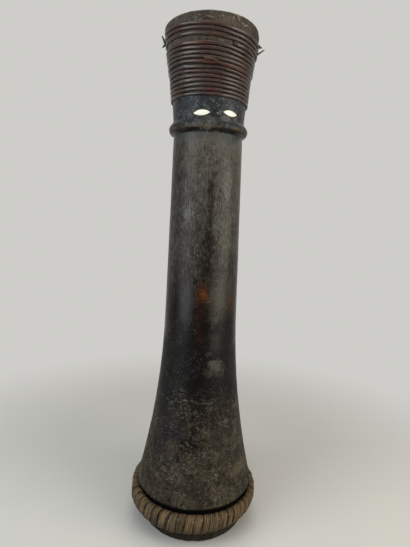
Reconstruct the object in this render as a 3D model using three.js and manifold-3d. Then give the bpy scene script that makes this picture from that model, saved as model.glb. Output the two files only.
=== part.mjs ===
// Hourglass hand drum carved from one log: a lizard-skin head bound on with split cane,
// two shell eyes let into the neck, and a cane-wrapped hoop round the foot.
// Millimetres, +Z up. The origin is on the floor under the drum's axis, and -Y is the front,
// midway between the eyes. Left and right are the viewer's, facing the front.

import * as THREE from "three";
import { mergeVertices } from "three/addons/utils/BufferGeometryUtils.js";
import Module from "manifold-3d";

const wasm = await Module();
wasm.setup();

// Heights of the log's zones, from the floor up
const FOOT_HEIGHT = 22; // floor to the underside of the hoop
const HOOP_HEIGHT = 22.2; // hoop with its wrapping
const HOOP_REVEAL = 3.8; // open groove between the hoop and the flare's edge
const FLARE_HEIGHT = 217; // trumpet flare, up to where the shaft runs straight
const SHAFT_LENGTH = 217.2; // straight shaft, up to the collar
const COLLAR_HEIGHT = 12.2; // carved bead
const NECK_HEIGHT = 18.6; // band that holds the eyes
const CUP_HEIGHT = 87.3; // widening cup, up to the bearing edge of the head

// Outside radii of the log
const FOOT_RADIUS = 60.4; // rounded edge that stands on the floor
const SEAT_RADIUS = 70.3; // cylinder that carries the hoop
const FLARE_RADIUS = 74.1; // overhanging edge of the flare
const SHAFT_LOW_RADIUS = 44.8;
const SHAFT_TOP_RADIUS = 41.2;
const COLLAR_RADIUS = 47;
const NECK_RADIUS = 42.3;
const CUP_LOW_RADIUS = 43.3;
const RIM_RADIUS = 53.4;

// Walls of the hollow, which is open at the foot
const FOOT_LAND = 6; // width of the flat ring on the floor
const SHAFT_WALL = 10.5;
const RIM_WALL = 7;

// Shape of the curves
const FLARE_LEAN = 13.3; // degrees off vertical at the flare's edge
const FLARE_LOW_PULL = 49; // reach of the curve's lower handle
const FLARE_TOP_PULL = 90; // reach of the curve's upper handle
const BORE_LOW_PULL = 85;
const BORE_TOP_PULL = 110;
const CUP_BEND = 0.6; // share of the cup's widening that follows a parabola
const EDGE_ROUND = 2.2; // worn roundness of the flare's edge and of the rim
const COLLAR_COVE_DEPTH = 2.4; // hollow that eases the collar into the neck
const COLLAR_COVE_HEIGHT = 4.4;

// Skin head
const SKIN_THICKNESS = 0.8;
const SKIRT_LENGTH = 47; // how far the skin laps down the cup

// Split cane of the bindings, half round
const CANE_WIDTH = 3.6;
const CANE_THICKNESS = 2.2;
const UPPER_BINDING_DROP = 12.1; // top of the skin to the middle of the first turn
const UPPER_BINDING_PITCH = 4.85; // from turn to turn
const UPPER_BINDING_TURNS = 2.5;
const BINDING_REVEAL = 5.1; // skin left bare between the upper and middle bindings
const MIDDLE_BINDING_PITCH = 4.4;
const MIDDLE_BINDING_TURNS = 4.75;
const LOWER_BINDING_PITCH = 4.45;
const LOWER_BINDING_TURNS = 7.375;
const UPPER_BINDING_START = -92; // degrees round from the front, towards the right
const MIDDLE_BINDING_START = 80;
const BINDING_JOIN_GAP = 2.5; // between the ends of the middle and lower bindings
const BINDING_TILT = 2.6; // rise of the slanting turns at the left, and their fall at the right
const BINDING_TILT_ANGLE = -12; // degrees round from the front, where they slant most
const LEVEL_TURNS = 15; // height of the cup over which the lowest turns lie level
const SLANT_REACH = 28; // height above that in which the turns come to their full tilt
const TAIL_LENGTH = 10; // shaved end that springs off the turns
const TAIL_LIFT = 5.5;
const TAIL_RISE = 5;
const TAIL_TIP = 0.35; // share of the section left at the tip

// Eyes
const EYE_LENGTH = 19.2;
const EYE_HEIGHT = 6.1;
const EYE_SPREAD = 22.8; // degrees from the front to each eye
const EYE_LEVEL = 7.8; // middle of the pair above the top of the collar
const EYE_STEP = 0.9; // the right eye sits this much above the middle, the left below it
const EYE_SLANT = 2.8; // degrees that the outer ends droop
const EYE_PROUD = 0.5; // shell above the wood
const SHELL_THICKNESS = 2;
const GUM_THICKNESS = 0.8; // bed under the shell and wall round it

// Hoop round the foot: a bent cane core wrapped with a split strip
const HOOP_DEPTH = 11.4; // radial, with its wrapping
const HOOP_ROUNDNESS = 0.7; // share of the core's half depth that its corners take
const STRIP_THICKNESS = 1.3;
const STRIP_GAP = 0.7; // between neighbouring turns, at the inside of the hoop
const STRIP_TURNS = 48;

// Tuning wax on the skin
const WAX_COUNT = 5;
const WAX_RADIUS = 4.6;
const WAX_HEIGHT = 3.6;
const WAX_CIRCLE = 17; // radius of the ring of pellets

const SEAT_GAP = 0.3; // clearance between pieces that seat on each other

// Faceting
const SIDES = 48; // round the drum
const WAX_SIDES = 16;
const FLARE_STEPS = 10;
const BORE_STEPS = 6;
const CUP_STEPS = 5;
const LOOP_STEPS = 24; // round one turn of a binding
const TAIL_STEPS = 3;

// Levels that follow from the heights
const HOOP_TOP = FOOT_HEIGHT + HOOP_HEIGHT;
const FLARE_EDGE = HOOP_TOP + HOOP_REVEAL;
const FLARE_TOP = FLARE_EDGE + FLARE_HEIGHT;
const COLLAR_LOW = FLARE_TOP + SHAFT_LENGTH;
const COLLAR_TOP = COLLAR_LOW + COLLAR_HEIGHT;
const CUP_LOW = COLLAR_TOP + NECK_HEIGHT;
const RIM = CUP_LOW + CUP_HEIGHT;
const SKIN_TOP = RIM + SEAT_GAP + SKIN_THICKNESS;

const radians = THREE.MathUtils.degToRad;

// Finishes
const finish = (color, roughness) => new THREE.MeshStandardMaterial({ color, roughness, metalness: 0 });
const WOOD = finish(0x3a342e, 0.55);
const SKIN = finish(0x5f5546, 0.6);
const CANE = finish(0x4a2f28, 0.4);
const STRIP = finish(0x6b5842, 0.75);
const CORE = finish(0x57452f, 0.8);
const SHELL = finish(0xf3efe2, 0.3);
const GUM = finish(0x14110f, 0.7);
const WAX = finish(0x2b1d12, 0.5);

// Solids and meshes

function solidOf(geometry) {
  const bare = geometry.clone();
  bare.deleteAttribute("normal");
  bare.deleteAttribute("uv");
  const merged = mergeVertices(bare, 1e-4);
  return new wasm.Manifold(
    new wasm.Mesh({
      numProp: 3,
      vertProperties: merged.attributes.position.array,
      triVerts: new Uint32Array(merged.index.array),
    }),
  );
}

function geometryOf(solid) {
  const { numProp, vertProperties, triVerts } = solid.getMesh();
  const data = new THREE.InterleavedBuffer(vertProperties, numProp);
  return new THREE.BufferGeometry()
    .setAttribute("position", new THREE.InterleavedBufferAttribute(data, 3, 0))
    .setIndex(new THREE.BufferAttribute(triVerts, 1));
}

// A profile of [radius, height] points, closed on itself or on the axis, turned about Z.
function turned(profile, sides = SIDES) {
  const points = profile.map(([radius, height]) => new THREE.Vector2(radius, height));
  return new THREE.LatheGeometry(points, sides).rotateX(Math.PI / 2);
}

// A closed tube with flat ends through rings of points.
function lofted(rings) {
  const sides = rings[0].length;
  const last = (rings.length - 1) * sides;
  const index = [];
  for (let ring = 0; ring < rings.length - 1; ring++) {
    for (let side = 0; side < sides; side++) {
      const a = ring * sides + side;
      const b = ring * sides + ((side + 1) % sides);
      index.push(a, b, a + sides, b, b + sides, a + sides);
    }
  }
  for (let side = 1; side < sides - 1; side++) {
    index.push(0, side + 1, side, last, last + side, last + side + 1);
  }
  return new THREE.BufferGeometry().setFromPoints(rings.flat()).setIndex(index);
}

// A point at a radius, an angle in radians round from the front towards the right, and a height.
function around(radius, angle, height) {
  return new THREE.Vector3(radius * Math.sin(angle), -radius * Math.cos(angle), height);
}

// The least distance between points of a tube that are at least half a turn apart along it.
function leastGap(rings, stepsPerTurn) {
  let least = Infinity;
  rings.forEach((ring, i) =>
    rings.slice(i + Math.ceil(stepsPerTurn / 2)).forEach((other) =>
      ring.forEach((p) =>
        other.forEach((q) => {
          least = Math.min(least, p.distanceTo(q));
        }),
      ),
    ),
  );
  return least;
}

function curvePoints(steps, ...handles) {
  const points = handles.map(([radius, height]) => new THREE.Vector2(radius, height));
  return new THREE.CubicBezierCurve(...points).getPoints(steps).map(({ x, y }) => [x, y]);
}

// Points of an ellipse's arc, from and to in degrees.
function arcPoints(radius, height, acrossRadius, upRadius, from, to, steps) {
  const curve = new THREE.EllipseCurve(
    radius, height, acrossRadius, upRadius, radians(from), radians(to), to < from,
  );
  return curve.getPoints(steps).map(({ x, y }) => [x, y]);
}

// The log

function cupRadius(height) {
  const share = Math.max(0, (height - CUP_LOW) / CUP_HEIGHT);
  return CUP_LOW_RADIUS + (RIM_RADIUS - CUP_LOW_RADIUS) * share * (1 - CUP_BEND + CUP_BEND * share);
}

function cupPoints(low, high, offset) {
  return Array.from({ length: CUP_STEPS + 1 }, (_, i) => {
    const height = low + ((high - low) * i) / CUP_STEPS;
    return [cupRadius(height) + offset, height];
  });
}

const shaftTaper = (SHAFT_LOW_RADIUS - SHAFT_TOP_RADIUS) / SHAFT_LENGTH;
const flareSlope = Math.tan(radians(FLARE_LEAN));

const footOutline = [
  ...arcPoints(FOOT_RADIUS, FOOT_HEIGHT, SEAT_RADIUS - FOOT_RADIUS, FOOT_HEIGHT, -90, 0, 4),
  [SEAT_RADIUS, FLARE_EDGE],
];

const flareOutline = [
  ...arcPoints(FLARE_RADIUS - EDGE_ROUND, FLARE_EDGE + EDGE_ROUND, EDGE_ROUND, EDGE_ROUND, -90, -10, 2),
  ...curvePoints(
    FLARE_STEPS,
    [FLARE_RADIUS, FLARE_EDGE + EDGE_ROUND],
    [FLARE_RADIUS - FLARE_LOW_PULL * flareSlope, FLARE_EDGE + FLARE_LOW_PULL],
    [SHAFT_LOW_RADIUS + FLARE_TOP_PULL * shaftTaper, FLARE_TOP - FLARE_TOP_PULL],
    [SHAFT_LOW_RADIUS, FLARE_TOP],
  ),
];

const collarMiddle = (COLLAR_LOW + COLLAR_TOP) / 2;
const collarReach = COLLAR_RADIUS - SHAFT_TOP_RADIUS;
const collarOutline = [
  [SHAFT_TOP_RADIUS, COLLAR_LOW],
  ...arcPoints(SHAFT_TOP_RADIUS, collarMiddle, collarReach, COLLAR_HEIGHT / 2, -65, 40, 5),
  ...arcPoints(
    NECK_RADIUS + COLLAR_COVE_DEPTH, COLLAR_TOP + COLLAR_COVE_HEIGHT,
    COLLAR_COVE_DEPTH, COLLAR_COVE_HEIGHT, 255, 180, 3,
  ),
];

const rimOutline = [
  ...cupPoints(CUP_LOW, RIM - EDGE_ROUND, 0),
  ...arcPoints(RIM_RADIUS - EDGE_ROUND, RIM - EDGE_ROUND, EDGE_ROUND, EDGE_ROUND, 30, 90, 2),
];

const boreLow = SHAFT_LOW_RADIUS - SHAFT_WALL;
const boreTop = SHAFT_TOP_RADIUS - SHAFT_WALL;
const mouthRadius = FOOT_RADIUS - FOOT_LAND;
const rimBore = RIM_RADIUS - RIM_WALL;
const boreOutline = [
  [rimBore, RIM],
  ...curvePoints(
    BORE_STEPS,
    [rimBore, RIM - EDGE_ROUND],
    [cupRadius(RIM - CUP_HEIGHT / 2) - RIM_WALL, RIM - CUP_HEIGHT / 2],
    [boreTop, CUP_LOW + NECK_HEIGHT],
    [boreTop, COLLAR_TOP],
  ),
  [boreTop, COLLAR_LOW],
  ...curvePoints(
    BORE_STEPS,
    [boreLow, FLARE_TOP],
    [boreLow, FLARE_TOP - BORE_TOP_PULL],
    [mouthRadius, BORE_LOW_PULL],
    [mouthRadius, EDGE_ROUND],
  ),
  [mouthRadius, 0],
];

const logOutline = [...footOutline, ...flareOutline, ...collarOutline, ...rimOutline, ...boreOutline];
const log = solidOf(turned([...logOutline, logOutline[0]]));

// Eyes: a lens of shell bedded in gum, in a pocket cut to the neck's curve

// A lens outline of two arcs, grown all round by an offset.
function lensShape(offset) {
  const arcRadius = (EYE_LENGTH ** 2 + EYE_HEIGHT ** 2) / (4 * EYE_HEIGHT);
  const centre = arcRadius - EYE_HEIGHT / 2;
  const radius = arcRadius + offset;
  const reach = Math.acos(centre / radius);
  const shape = new THREE.Shape();
  shape.absarc(0, -centre, radius, Math.PI / 2 - reach, Math.PI / 2 + reach, false);
  shape.absarc(0, centre, radius, -Math.PI / 2 - reach, -Math.PI / 2 + reach, false);
  return shape;
}

const eyeHeight = COLLAR_TOP + EYE_LEVEL;
const shellOuter = NECK_RADIUS + EYE_PROUD;
const shellInner = shellOuter - SHELL_THICKNESS;
const gumInner = shellInner - SEAT_GAP - GUM_THICKNESS;
const pocketInner = gumInner - SEAT_GAP;
const gumEdge = SEAT_GAP + GUM_THICKNESS;

// A lens that points out of the neck on a side (-1 left, 1 right), between two radii that follow
// the neck's curve.
function lensBlock(side, offset, inner, outer) {
  const settings = { depth: 3 * NECK_RADIUS, bevelEnabled: false, curveSegments: 8 };
  const prism = new THREE.ExtrudeGeometry(lensShape(offset), settings);
  prism.rotateZ(-side * radians(EYE_SLANT)).rotateX(Math.PI / 2);
  prism.rotateZ(side * radians(EYE_SPREAD)).translate(0, 0, eyeHeight + side * EYE_STEP);
  const low = eyeHeight - EYE_LENGTH;
  const high = eyeHeight + EYE_LENGTH;
  const band = [[inner, low], [outer, low], [outer, high], [inner, high], [inner, low]];
  return solidOf(prism).intersect(solidOf(turned(band)));
}

function eye(side) {
  return {
    pocket: lensBlock(side, gumEdge + SEAT_GAP, pocketInner, 2 * NECK_RADIUS),
    gum: lensBlock(side, gumEdge, gumInner, NECK_RADIUS).subtract(
      lensBlock(side, SEAT_GAP, shellInner - SEAT_GAP, 2 * NECK_RADIUS),
    ),
    shell: lensBlock(side, 0, shellInner, shellOuter),
  };
}

const eyes = { left: eye(-1), right: eye(1) };
const carvedLog = log.subtract(eyes.left.pocket).subtract(eyes.right.pocket);

// Skin head: a membrane on the rim, lapped down the cup

const skirtEdge = RIM - SKIRT_LENGTH;
const skirtInner = SEAT_GAP;
const skirtOuter = SEAT_GAP + SKIN_THICKNESS;
const skinShoulder = RIM_RADIUS - EDGE_ROUND;
const skinProfile = [
  [0, RIM + SEAT_GAP],
  [skinShoulder, RIM + SEAT_GAP],
  ...arcPoints(skinShoulder, RIM - EDGE_ROUND, EDGE_ROUND + skirtInner, EDGE_ROUND + SEAT_GAP, 60, 0, 2),
  ...cupPoints(skirtEdge, RIM - EDGE_ROUND, skirtInner).reverse().slice(1),
  ...cupPoints(skirtEdge, RIM - EDGE_ROUND, skirtOuter).slice(0, -1),
  ...arcPoints(skinShoulder, RIM - EDGE_ROUND, EDGE_ROUND + skirtOuter, EDGE_ROUND + skirtOuter, 0, 90, 3),
  [0, SKIN_TOP],
];

// Cane bindings

// The surface that a binding lies on: the skin where it laps the cup, and the wood below.
function bindingSeat(height) {
  return cupRadius(height) + (height > skirtEdge - CANE_WIDTH ? skirtOuter : 0);
}

// The height of a turn at an angle: level low on the cup, and slanting down to the right above.
function slantedHeight(height, angle) {
  const share = THREE.MathUtils.clamp((height - CUP_LOW - LEVEL_TURNS) / SLANT_REACH, 0, 1);
  return height - BINDING_TILT * share * Math.sin(angle - radians(BINDING_TILT_ANGLE));
}

// A half-round section as [up, out] points, with its flat side on the seat.
function caneSection(scale) {
  const half = (CANE_WIDTH / 2) * scale;
  const crown = arcPoints(0, 0, half, CANE_THICKNESS * scale, 30, 150, 3);
  return [[-half, 0], [half, 0], ...crown];
}

// Rings of a binding that winds down the cup from a start angle in degrees. A tail springs off its start.
function bindingRings(startAngle, startHeight, pitch, turns, hasTail) {
  const steps = Math.round(turns * LOOP_STEPS);
  const stepAngle = (2 * Math.PI) / LOOP_STEPS;
  const flatRadius = 1 / Math.cos(stepAngle / 2);
  const tailAngle = TAIL_LENGTH / bindingSeat(startHeight) / TAIL_STEPS;
  const rings = [];
  for (let step = hasTail ? -TAIL_STEPS : 0; step <= steps; step++) {
    const tail = Math.max(0, -step) / TAIL_STEPS;
    const angle = radians(startAngle) + step * (step < 0 ? tailAngle : stepAngle);
    const height = slantedHeight(startHeight - (pitch * Math.max(0, step)) / LOOP_STEPS, angle);
    const section = caneSection(1 - tail * (1 - TAIL_TIP));
    rings.push(
      section.map(([up, out]) => {
        const seat = (bindingSeat(height + up) + SEAT_GAP) * flatRadius;
        return around(seat + out + TAIL_LIFT * tail ** 2, angle, height + up + TAIL_RISE * tail ** 2);
      }),
    );
  }
  return rings;
}

const upperStart = SKIN_TOP - UPPER_BINDING_DROP;
const upperEnd = upperStart - UPPER_BINDING_TURNS * UPPER_BINDING_PITCH;
const middleStart = upperEnd - CANE_WIDTH - BINDING_REVEAL + MIDDLE_BINDING_PITCH;
const lowerStart = middleStart - MIDDLE_BINDING_TURNS * MIDDLE_BINDING_PITCH;
const joinAngle = THREE.MathUtils.radToDeg(BINDING_JOIN_GAP / bindingSeat(lowerStart));
const lowerStartAngle = MIDDLE_BINDING_START + 360 * MIDDLE_BINDING_TURNS + joinAngle;

const bindings = {
  upper_binding: bindingRings(
    UPPER_BINDING_START, upperStart, UPPER_BINDING_PITCH, UPPER_BINDING_TURNS, true,
  ),
  middle_binding: bindingRings(
    MIDDLE_BINDING_START, middleStart, MIDDLE_BINDING_PITCH, MIDDLE_BINDING_TURNS, true,
  ),
  lower_binding: bindingRings(
    lowerStartAngle, lowerStart, LOWER_BINDING_PITCH, LOWER_BINDING_TURNS, false,
  ),
};

// Hoop

const hoopInner = SEAT_RADIUS + SEAT_GAP;
const hoopMiddle = hoopInner + HOOP_DEPTH / 2;
const hoopLevel = FOOT_HEIGHT + HOOP_HEIGHT / 2;
const wrapDepth = STRIP_THICKNESS + SEAT_GAP;

// The hoop's eight-sided section, grown by an offset, as [radius, height] points.
// They start at the inner low corner and run round underneath.
function hoopSection(offset) {
  const coreAcross = HOOP_DEPTH / 2 - wrapDepth;
  const across = coreAcross + offset;
  const up = HOOP_HEIGHT / 2 - wrapDepth + offset;
  const corner = HOOP_ROUNDNESS * coreAcross + offset * (2 - Math.SQRT2);
  return [
    [-across, corner - up], [corner - across, -up], [across - corner, -up], [across, corner - up],
    [across, up - corner], [across - corner, up], [corner - across, up], [-across, up - corner],
  ].map(([x, z]) => [hoopMiddle + x, hoopLevel + z]);
}

const coreProfile = hoopSection(0);

// How far round the section each corner lies, as shares of its girth.
function girthShares(section) {
  const lengths = section.map((corner, i) => {
    const next = section[(i + 1) % section.length];
    return Math.hypot(next[0] - corner[0], next[1] - corner[1]);
  });
  const girth = lengths.reduce((sum, length) => sum + length);
  return lengths.map((_, i) => lengths.slice(0, i).reduce((sum, length) => sum + length, 0) / girth);
}

// A strip wound round the section all along the hoop, flat inside and crowned outside.
// Its two ends meet behind the hoop, against the wood.
function stripRings() {
  const inside = hoopSection(SEAT_GAP);
  const outside = hoopSection(wrapDepth);
  const shares = girthShares(outside);
  const corners = inside.length;
  const pitchAngle = (2 * Math.PI) / STRIP_TURNS;
  const halfAngle = (pitchAngle - STRIP_GAP / hoopInner) / 2;
  const crown = [[-1, 0], [-1, 0.75], [0, 1], [1, 0.75], [1, 0]];
  return Array.from({ length: STRIP_TURNS * corners }, (_, step) => {
    const corner = step % corners;
    const angle = pitchAngle * (Math.floor(step / corners) + shares[corner]);
    const [low, high] = [inside[corner], outside[corner]];
    return crown.map(([side, rise]) =>
      around(
        THREE.MathUtils.lerp(low[0], high[0], rise),
        angle + side * halfAngle,
        THREE.MathUtils.lerp(low[1], high[1], rise),
      ),
    );
  });
}

const strip = stripRings();

// Tuning wax

function waxProfile() {
  return [[0, 0], ...arcPoints(0, 0, WAX_RADIUS, WAX_HEIGHT, 0, 90, 5)];
}

// Assembly

const drum = new THREE.Group();

function add(name, geometry, material) {
  const mesh = new THREE.Mesh(geometry, material);
  mesh.name = name;
  drum.add(mesh);
  return mesh;
}

add("drum_body", geometryOf(carvedLog), WOOD);
add("drum_skin", turned(skinProfile), SKIN);
for (const [name, rings] of Object.entries(bindings)) {
  add(name, lofted(rings), CANE);
  console.log(`${name}: least gap to itself ${leastGap(rings, LOOP_STEPS).toFixed(2)} mm`);
}
for (const [side, { gum, shell }] of Object.entries(eyes)) {
  add(`${side}_eye_gum`, geometryOf(gum), GUM);
  add(`${side}_eye_shell`, geometryOf(shell), SHELL);
}
add("hoop_core", turned([...coreProfile, coreProfile[0]]), CORE);
add("hoop_wrapping", lofted(strip), STRIP);
console.log(`hoop_wrapping: least gap to itself ${leastGap(strip, 8).toFixed(2)} mm`);
for (let i = 0; i < WAX_COUNT; i++) {
  const pellet = add(`tuning_wax_${i + 1}`, turned(waxProfile(), WAX_SIDES), WAX);
  pellet.position.copy(around(WAX_CIRCLE, (2 * Math.PI * i) / WAX_COUNT, SKIN_TOP + SEAT_GAP));
}

export default drum;
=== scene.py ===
"""Looks of a carved hourglass hand drum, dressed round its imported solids.

The drum stands on its open end: a log with a flared foot, a long shaft, a collar, a neck and a
widening cup. A lizard skin is bound over the cup with split cane, two shell eyes are let into the
neck, and a hoop wrapped with a cane strip sits under the flare.

Meshes are modelled in millimetres and brought to metres as each piece is finished. Angles run
round from the front (-Y) towards the viewer's right (+X).
"""

import logging
import math
from collections.abc import Iterable, Sequence
from dataclasses import dataclass, field
from enum import Enum

import bmesh
import bpy
from mathutils import Matrix, Vector, noise
from mathutils.geometry import interpolate_bezier


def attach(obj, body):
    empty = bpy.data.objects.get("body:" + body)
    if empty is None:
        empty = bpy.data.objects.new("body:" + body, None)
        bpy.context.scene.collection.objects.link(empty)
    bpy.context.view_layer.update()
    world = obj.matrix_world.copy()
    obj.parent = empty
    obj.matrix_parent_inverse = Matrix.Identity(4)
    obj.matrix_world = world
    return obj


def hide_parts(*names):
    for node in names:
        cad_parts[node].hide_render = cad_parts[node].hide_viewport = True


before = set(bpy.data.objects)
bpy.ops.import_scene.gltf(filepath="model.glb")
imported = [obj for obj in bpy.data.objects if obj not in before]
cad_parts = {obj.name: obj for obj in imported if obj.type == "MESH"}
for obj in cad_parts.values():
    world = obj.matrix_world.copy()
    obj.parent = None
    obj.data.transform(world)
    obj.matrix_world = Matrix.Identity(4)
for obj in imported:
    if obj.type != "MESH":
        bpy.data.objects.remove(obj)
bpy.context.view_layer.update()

log = logging.getLogger("drum")
logging.basicConfig(level=logging.INFO, format="%(name)s: %(message)s")

METRES = 0.001
# Points of a turned mesh closer than this, in millimetres, are one
MERGE = 1e-4
# How far a log shaped by eye strays: its axis and its cup in millimetres, its roundness as a share
AXIS_STRAY, CUP_LEAN, OUT_OF_ROUND = 0.3, 0.5, 0.003
# Share of a patch's reach that it covers in full before its edge starts to fade
FULL_REACH = 0.35

Socket = bpy.types.NodeSocket
Value = Socket | float
Material = bpy.types.Material
Mesh = bmesh.types.BMesh
Piece = bpy.types.Object
Colour = tuple[float, float, float, float]
Outline = list[tuple[float, float]]
Rings = Sequence[Sequence[Vector]]
Stops = tuple[tuple[float, str], ...]


class Slot(Enum):
    """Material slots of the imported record."""

    WOOD = "wood"
    SKIN = "skin"
    CANE = "cane"
    STRIP = "strip"
    CORE = "core"
    SHELL = "shell"
    GUM = "gum"
    WAX = "wax"


class Side(Enum):
    """The viewer's left and right, as signs of an angle round from the front."""

    LEFT = -1
    RIGHT = 1


# Helpers on numbers


def ease(low: float, high: float, value: float) -> float:
    """Rise smoothly from 0 at low to 1 at high, which lies below low for a fall."""
    share = min(1.0, max(0.0, (value - low) / (high - low)))
    return share * share * (3 - 2 * share)


def paint(code: str) -> Colour:
    """Turn a colour as seen, such as "3a342e", into a linear one.

    Args:
        code: six hexadecimal digits, red, green and blue.

    Returns:
        Linear red, green, blue and full alpha.
    """
    seen = [int(code[i : i + 2], 16) / 255 for i in (0, 2, 4)]
    linear = [c / 12.92 if c <= 0.04045 else ((c + 0.055) / 1.055) ** 2.4 for c in seen]
    return (*linear, 1.0)


def around(radius: float, angle: float, height: float) -> Vector:
    """Give the point at a radius, an angle in radians and a height."""
    return Vector((radius * math.sin(angle), -radius * math.cos(angle), height))


def rotated(x: float, y: float, angle: float) -> tuple[float, float]:
    """Turn a flat point about the origin by an angle in radians."""
    return x * math.cos(angle) - y * math.sin(angle), x * math.sin(angle) + y * math.cos(angle)


def ripple(x: float, y: float, z: float) -> float:
    """Give smooth noise between about -1 and 1 at a point."""
    return noise.noise(Vector((x, y, z)))


def arc(
    centre: tuple[float, float], across: float, up: float, start: float, end: float, steps: int
) -> Outline:
    """Sample an arc of an ellipse of given half sizes, by angles in degrees from level outwards."""
    turns = [math.radians(start + (end - start) * i / steps) for i in range(steps + 1)]
    return [(centre[0] + across * math.cos(t), centre[1] + up * math.sin(t)) for t in turns]


def bend(handles: Sequence[tuple[float, float]], count: int) -> Outline:
    """Sample points of a cubic curve by its end, two handles and other end."""
    points = [Vector((x, y, 0)) for x, y in handles]
    return [(p.x, p.y) for p in interpolate_bezier(*points, count)]


def divided(points: Outline, step: float) -> Outline:
    """Cut the long stretches of an outline.

    Args:
        points: the outline.
        step: longest stretch to leave.

    Returns:
        The same outline with points added.
    """
    cut: Outline = []
    for (x0, y0), (x1, y1) in zip(points, points[1:]):
        count = max(1, math.ceil(math.hypot(x1 - x0, y1 - y0) / step))
        cut += [(x0 + (x1 - x0) * i / count, y0 + (y1 - y0) * i / count) for i in range(count)]
    return [*cut, points[-1]]


# Sizes that pieces share


@dataclass(frozen=True)
class Levels:
    """Heights over the floor, and the clearance of seated pieces, in millimetres."""

    hoop_low: float = 22.0
    hoop_top: float = 44.7
    flare_edge: float = 48.0
    flare_top: float = 265.0
    collar_low: float = 482.9
    collar_top: float = 494.9
    cup_low: float = 513.0
    rim: float = 600.3
    skin_top: float = 601.4
    clearance: float = 0.3


@dataclass(frozen=True)
class Cup:
    """The widening upper end of the log, which carries the skin and the bindings."""

    levels: Levels = Levels()
    low_radius: float = 43.25
    rim_radius: float = 53.35
    parabola: float = 0.6
    skin_thickness: float = 0.8
    skirt_length: float = 47.0

    def radius(self, height: float) -> float:
        """Give the wood's outside radius at a height."""
        rise = self.levels.rim - self.levels.cup_low
        share = max(0.0, (height - self.levels.cup_low) / rise)
        widening = share * (1 - self.parabola + self.parabola * share)
        return self.low_radius + (self.rim_radius - self.low_radius) * widening

    def seat(self, height: float) -> float:
        """Give the radius that a binding lies on: the skin, or the wood below its skirt."""
        lap = ease(-4.0, -2.0, height - (self.levels.rim - self.skirt_length))
        return self.radius(height) + lap * (self.levels.clearance + self.skin_thickness)

    def points(self, low: float, high: float, offset: float, step: float) -> Outline:
        """Sample the cup's side from low to high, moved out by an offset."""
        count = max(1, math.ceil((high - low) / step))
        heights = [low + (high - low) * i / count for i in range(count + 1)]
        return [(self.radius(h) + offset, h) for h in heights]


# Meshes


def turned(profile: Outline, steps: int, closed: bool, shown: Sequence[bool] = ()) -> Mesh:
    """Turn a profile about the drum's axis.

    Args:
        profile: radius and height of its points.
        steps: facets round the axis.
        closed: join the last point to the first; otherwise both ends lie on the axis.
        shown: for each point, whether it lies on the side that shows; kept as "shown".

    Returns:
        The turned mesh, closed and facing outwards.
    """
    bm = bmesh.new()
    mark = bm.verts.layers.float.new("shown")
    verts = [bm.verts.new((radius, 0, height)) for radius, height in profile]
    for vert, value in zip(verts, shown):
        vert[mark] = float(value)
    edges = [bm.edges.new(pair) for pair in zip(verts, verts[1:])]
    if closed:
        edges.append(bm.edges.new((verts[-1], verts[0])))
    turn = {"cent": (0, 0, 0), "axis": (0, 0, 1), "angle": 2 * math.pi, "steps": steps}
    bmesh.ops.spin(bm, geom=verts + edges, use_merge=True, **turn)
    bmesh.ops.remove_doubles(bm, verts=bm.verts, dist=MERGE)
    bmesh.ops.recalc_face_normals(bm, faces=bm.faces)
    return bm


def swept(rings: Rings, along: Sequence[float], across: Sequence[float]) -> Mesh:
    """Extrude a closed section from ring to ring, and cap both ends.

    Args:
        rings: places of the section's points, ring by ring.
        along: distance of each ring from the start, kept on its points as "along".
        across: place of each point across the section, kept as "across".

    Returns:
        The closed tube.
    """
    bm = bmesh.new()
    along_mark = bm.verts.layers.float.new("along")
    across_mark = bm.verts.layers.float.new("across")
    ring = [bm.verts.new(place) for place in rings[0]]
    edges = [bm.edges.new((a, b)) for a, b in zip(ring, [*ring[1:], ring[0]])]
    for vert, value in zip(ring, across):
        vert[across_mark] = value
        vert[along_mark] = along[0]
    bmesh.ops.edgeloop_fill(bm, edges=edges)
    for places, distance in zip(rings[1:], along[1:]):
        made = bmesh.ops.extrude_edge_only(bm, edges=edges)["geom"]
        fresh = {item for item in made if isinstance(item, bmesh.types.BMVert)}
        ring = [
            next(e.other_vert(v) for e in v.link_edges if e.other_vert(v) in fresh) for v in ring
        ]
        edges = [bm.edges.get((a, b)) for a, b in zip(ring, [*ring[1:], ring[0]])]
        for vert, place in zip(ring, places):
            vert.co = place
            vert[along_mark] = distance
    bmesh.ops.edgeloop_fill(bm, edges=edges)
    bmesh.ops.recalc_face_normals(bm, faces=bm.faces)
    return bm


def hand_made(point: Vector) -> Vector:
    """Lean and swell a point as a log shaped by eye does, the same for all that sits on it.

    Args:
        point: a place on the perfect drum, in millimetres.

    Returns:
        The place on the drum as made.
    """
    slow = point.z * 0.006
    stray = Vector((ripple(3.1, 0, slow), ripple(0, 7.3, slow), 0)) * AXIS_STRAY
    stray.x -= CUP_LEAN * ease(555, 600, point.z)
    oval = 1 + OUT_OF_ROUND * ripple(point.x * 0.012, point.y * 0.012, point.z * 0.004)
    return Vector((point.x * oval, point.y * oval, point.z)) + stray * ease(0, 60, point.z)


def finished(bm: Mesh, name: str, material: Material, node: str) -> Piece:
    """Bring a mesh to metres, link it, dress it and let it stand for its CAD node.

    Args:
        bm: mesh in millimetres, freed here.
        name: the piece's name.
        material: its finish.
        node: CAD node that it replaces.

    Returns:
        The piece, at the origin.
    """
    for vert in bm.verts:
        vert.co = hand_made(vert.co)
    for face in bm.faces:
        face.smooth = True
    bmesh.ops.scale(bm, vec=(METRES, METRES, METRES), verts=bm.verts)
    mesh = bpy.data.meshes.new(name)
    bm.to_mesh(mesh)
    bm.free()
    mesh.materials.append(material)
    piece = bpy.data.objects.new(name, mesh)
    bpy.context.scene.collection.objects.link(piece)
    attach(piece, "root")
    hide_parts(node)
    log.info("%s: %d faces", name, len(mesh.polygons))
    return piece


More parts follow.
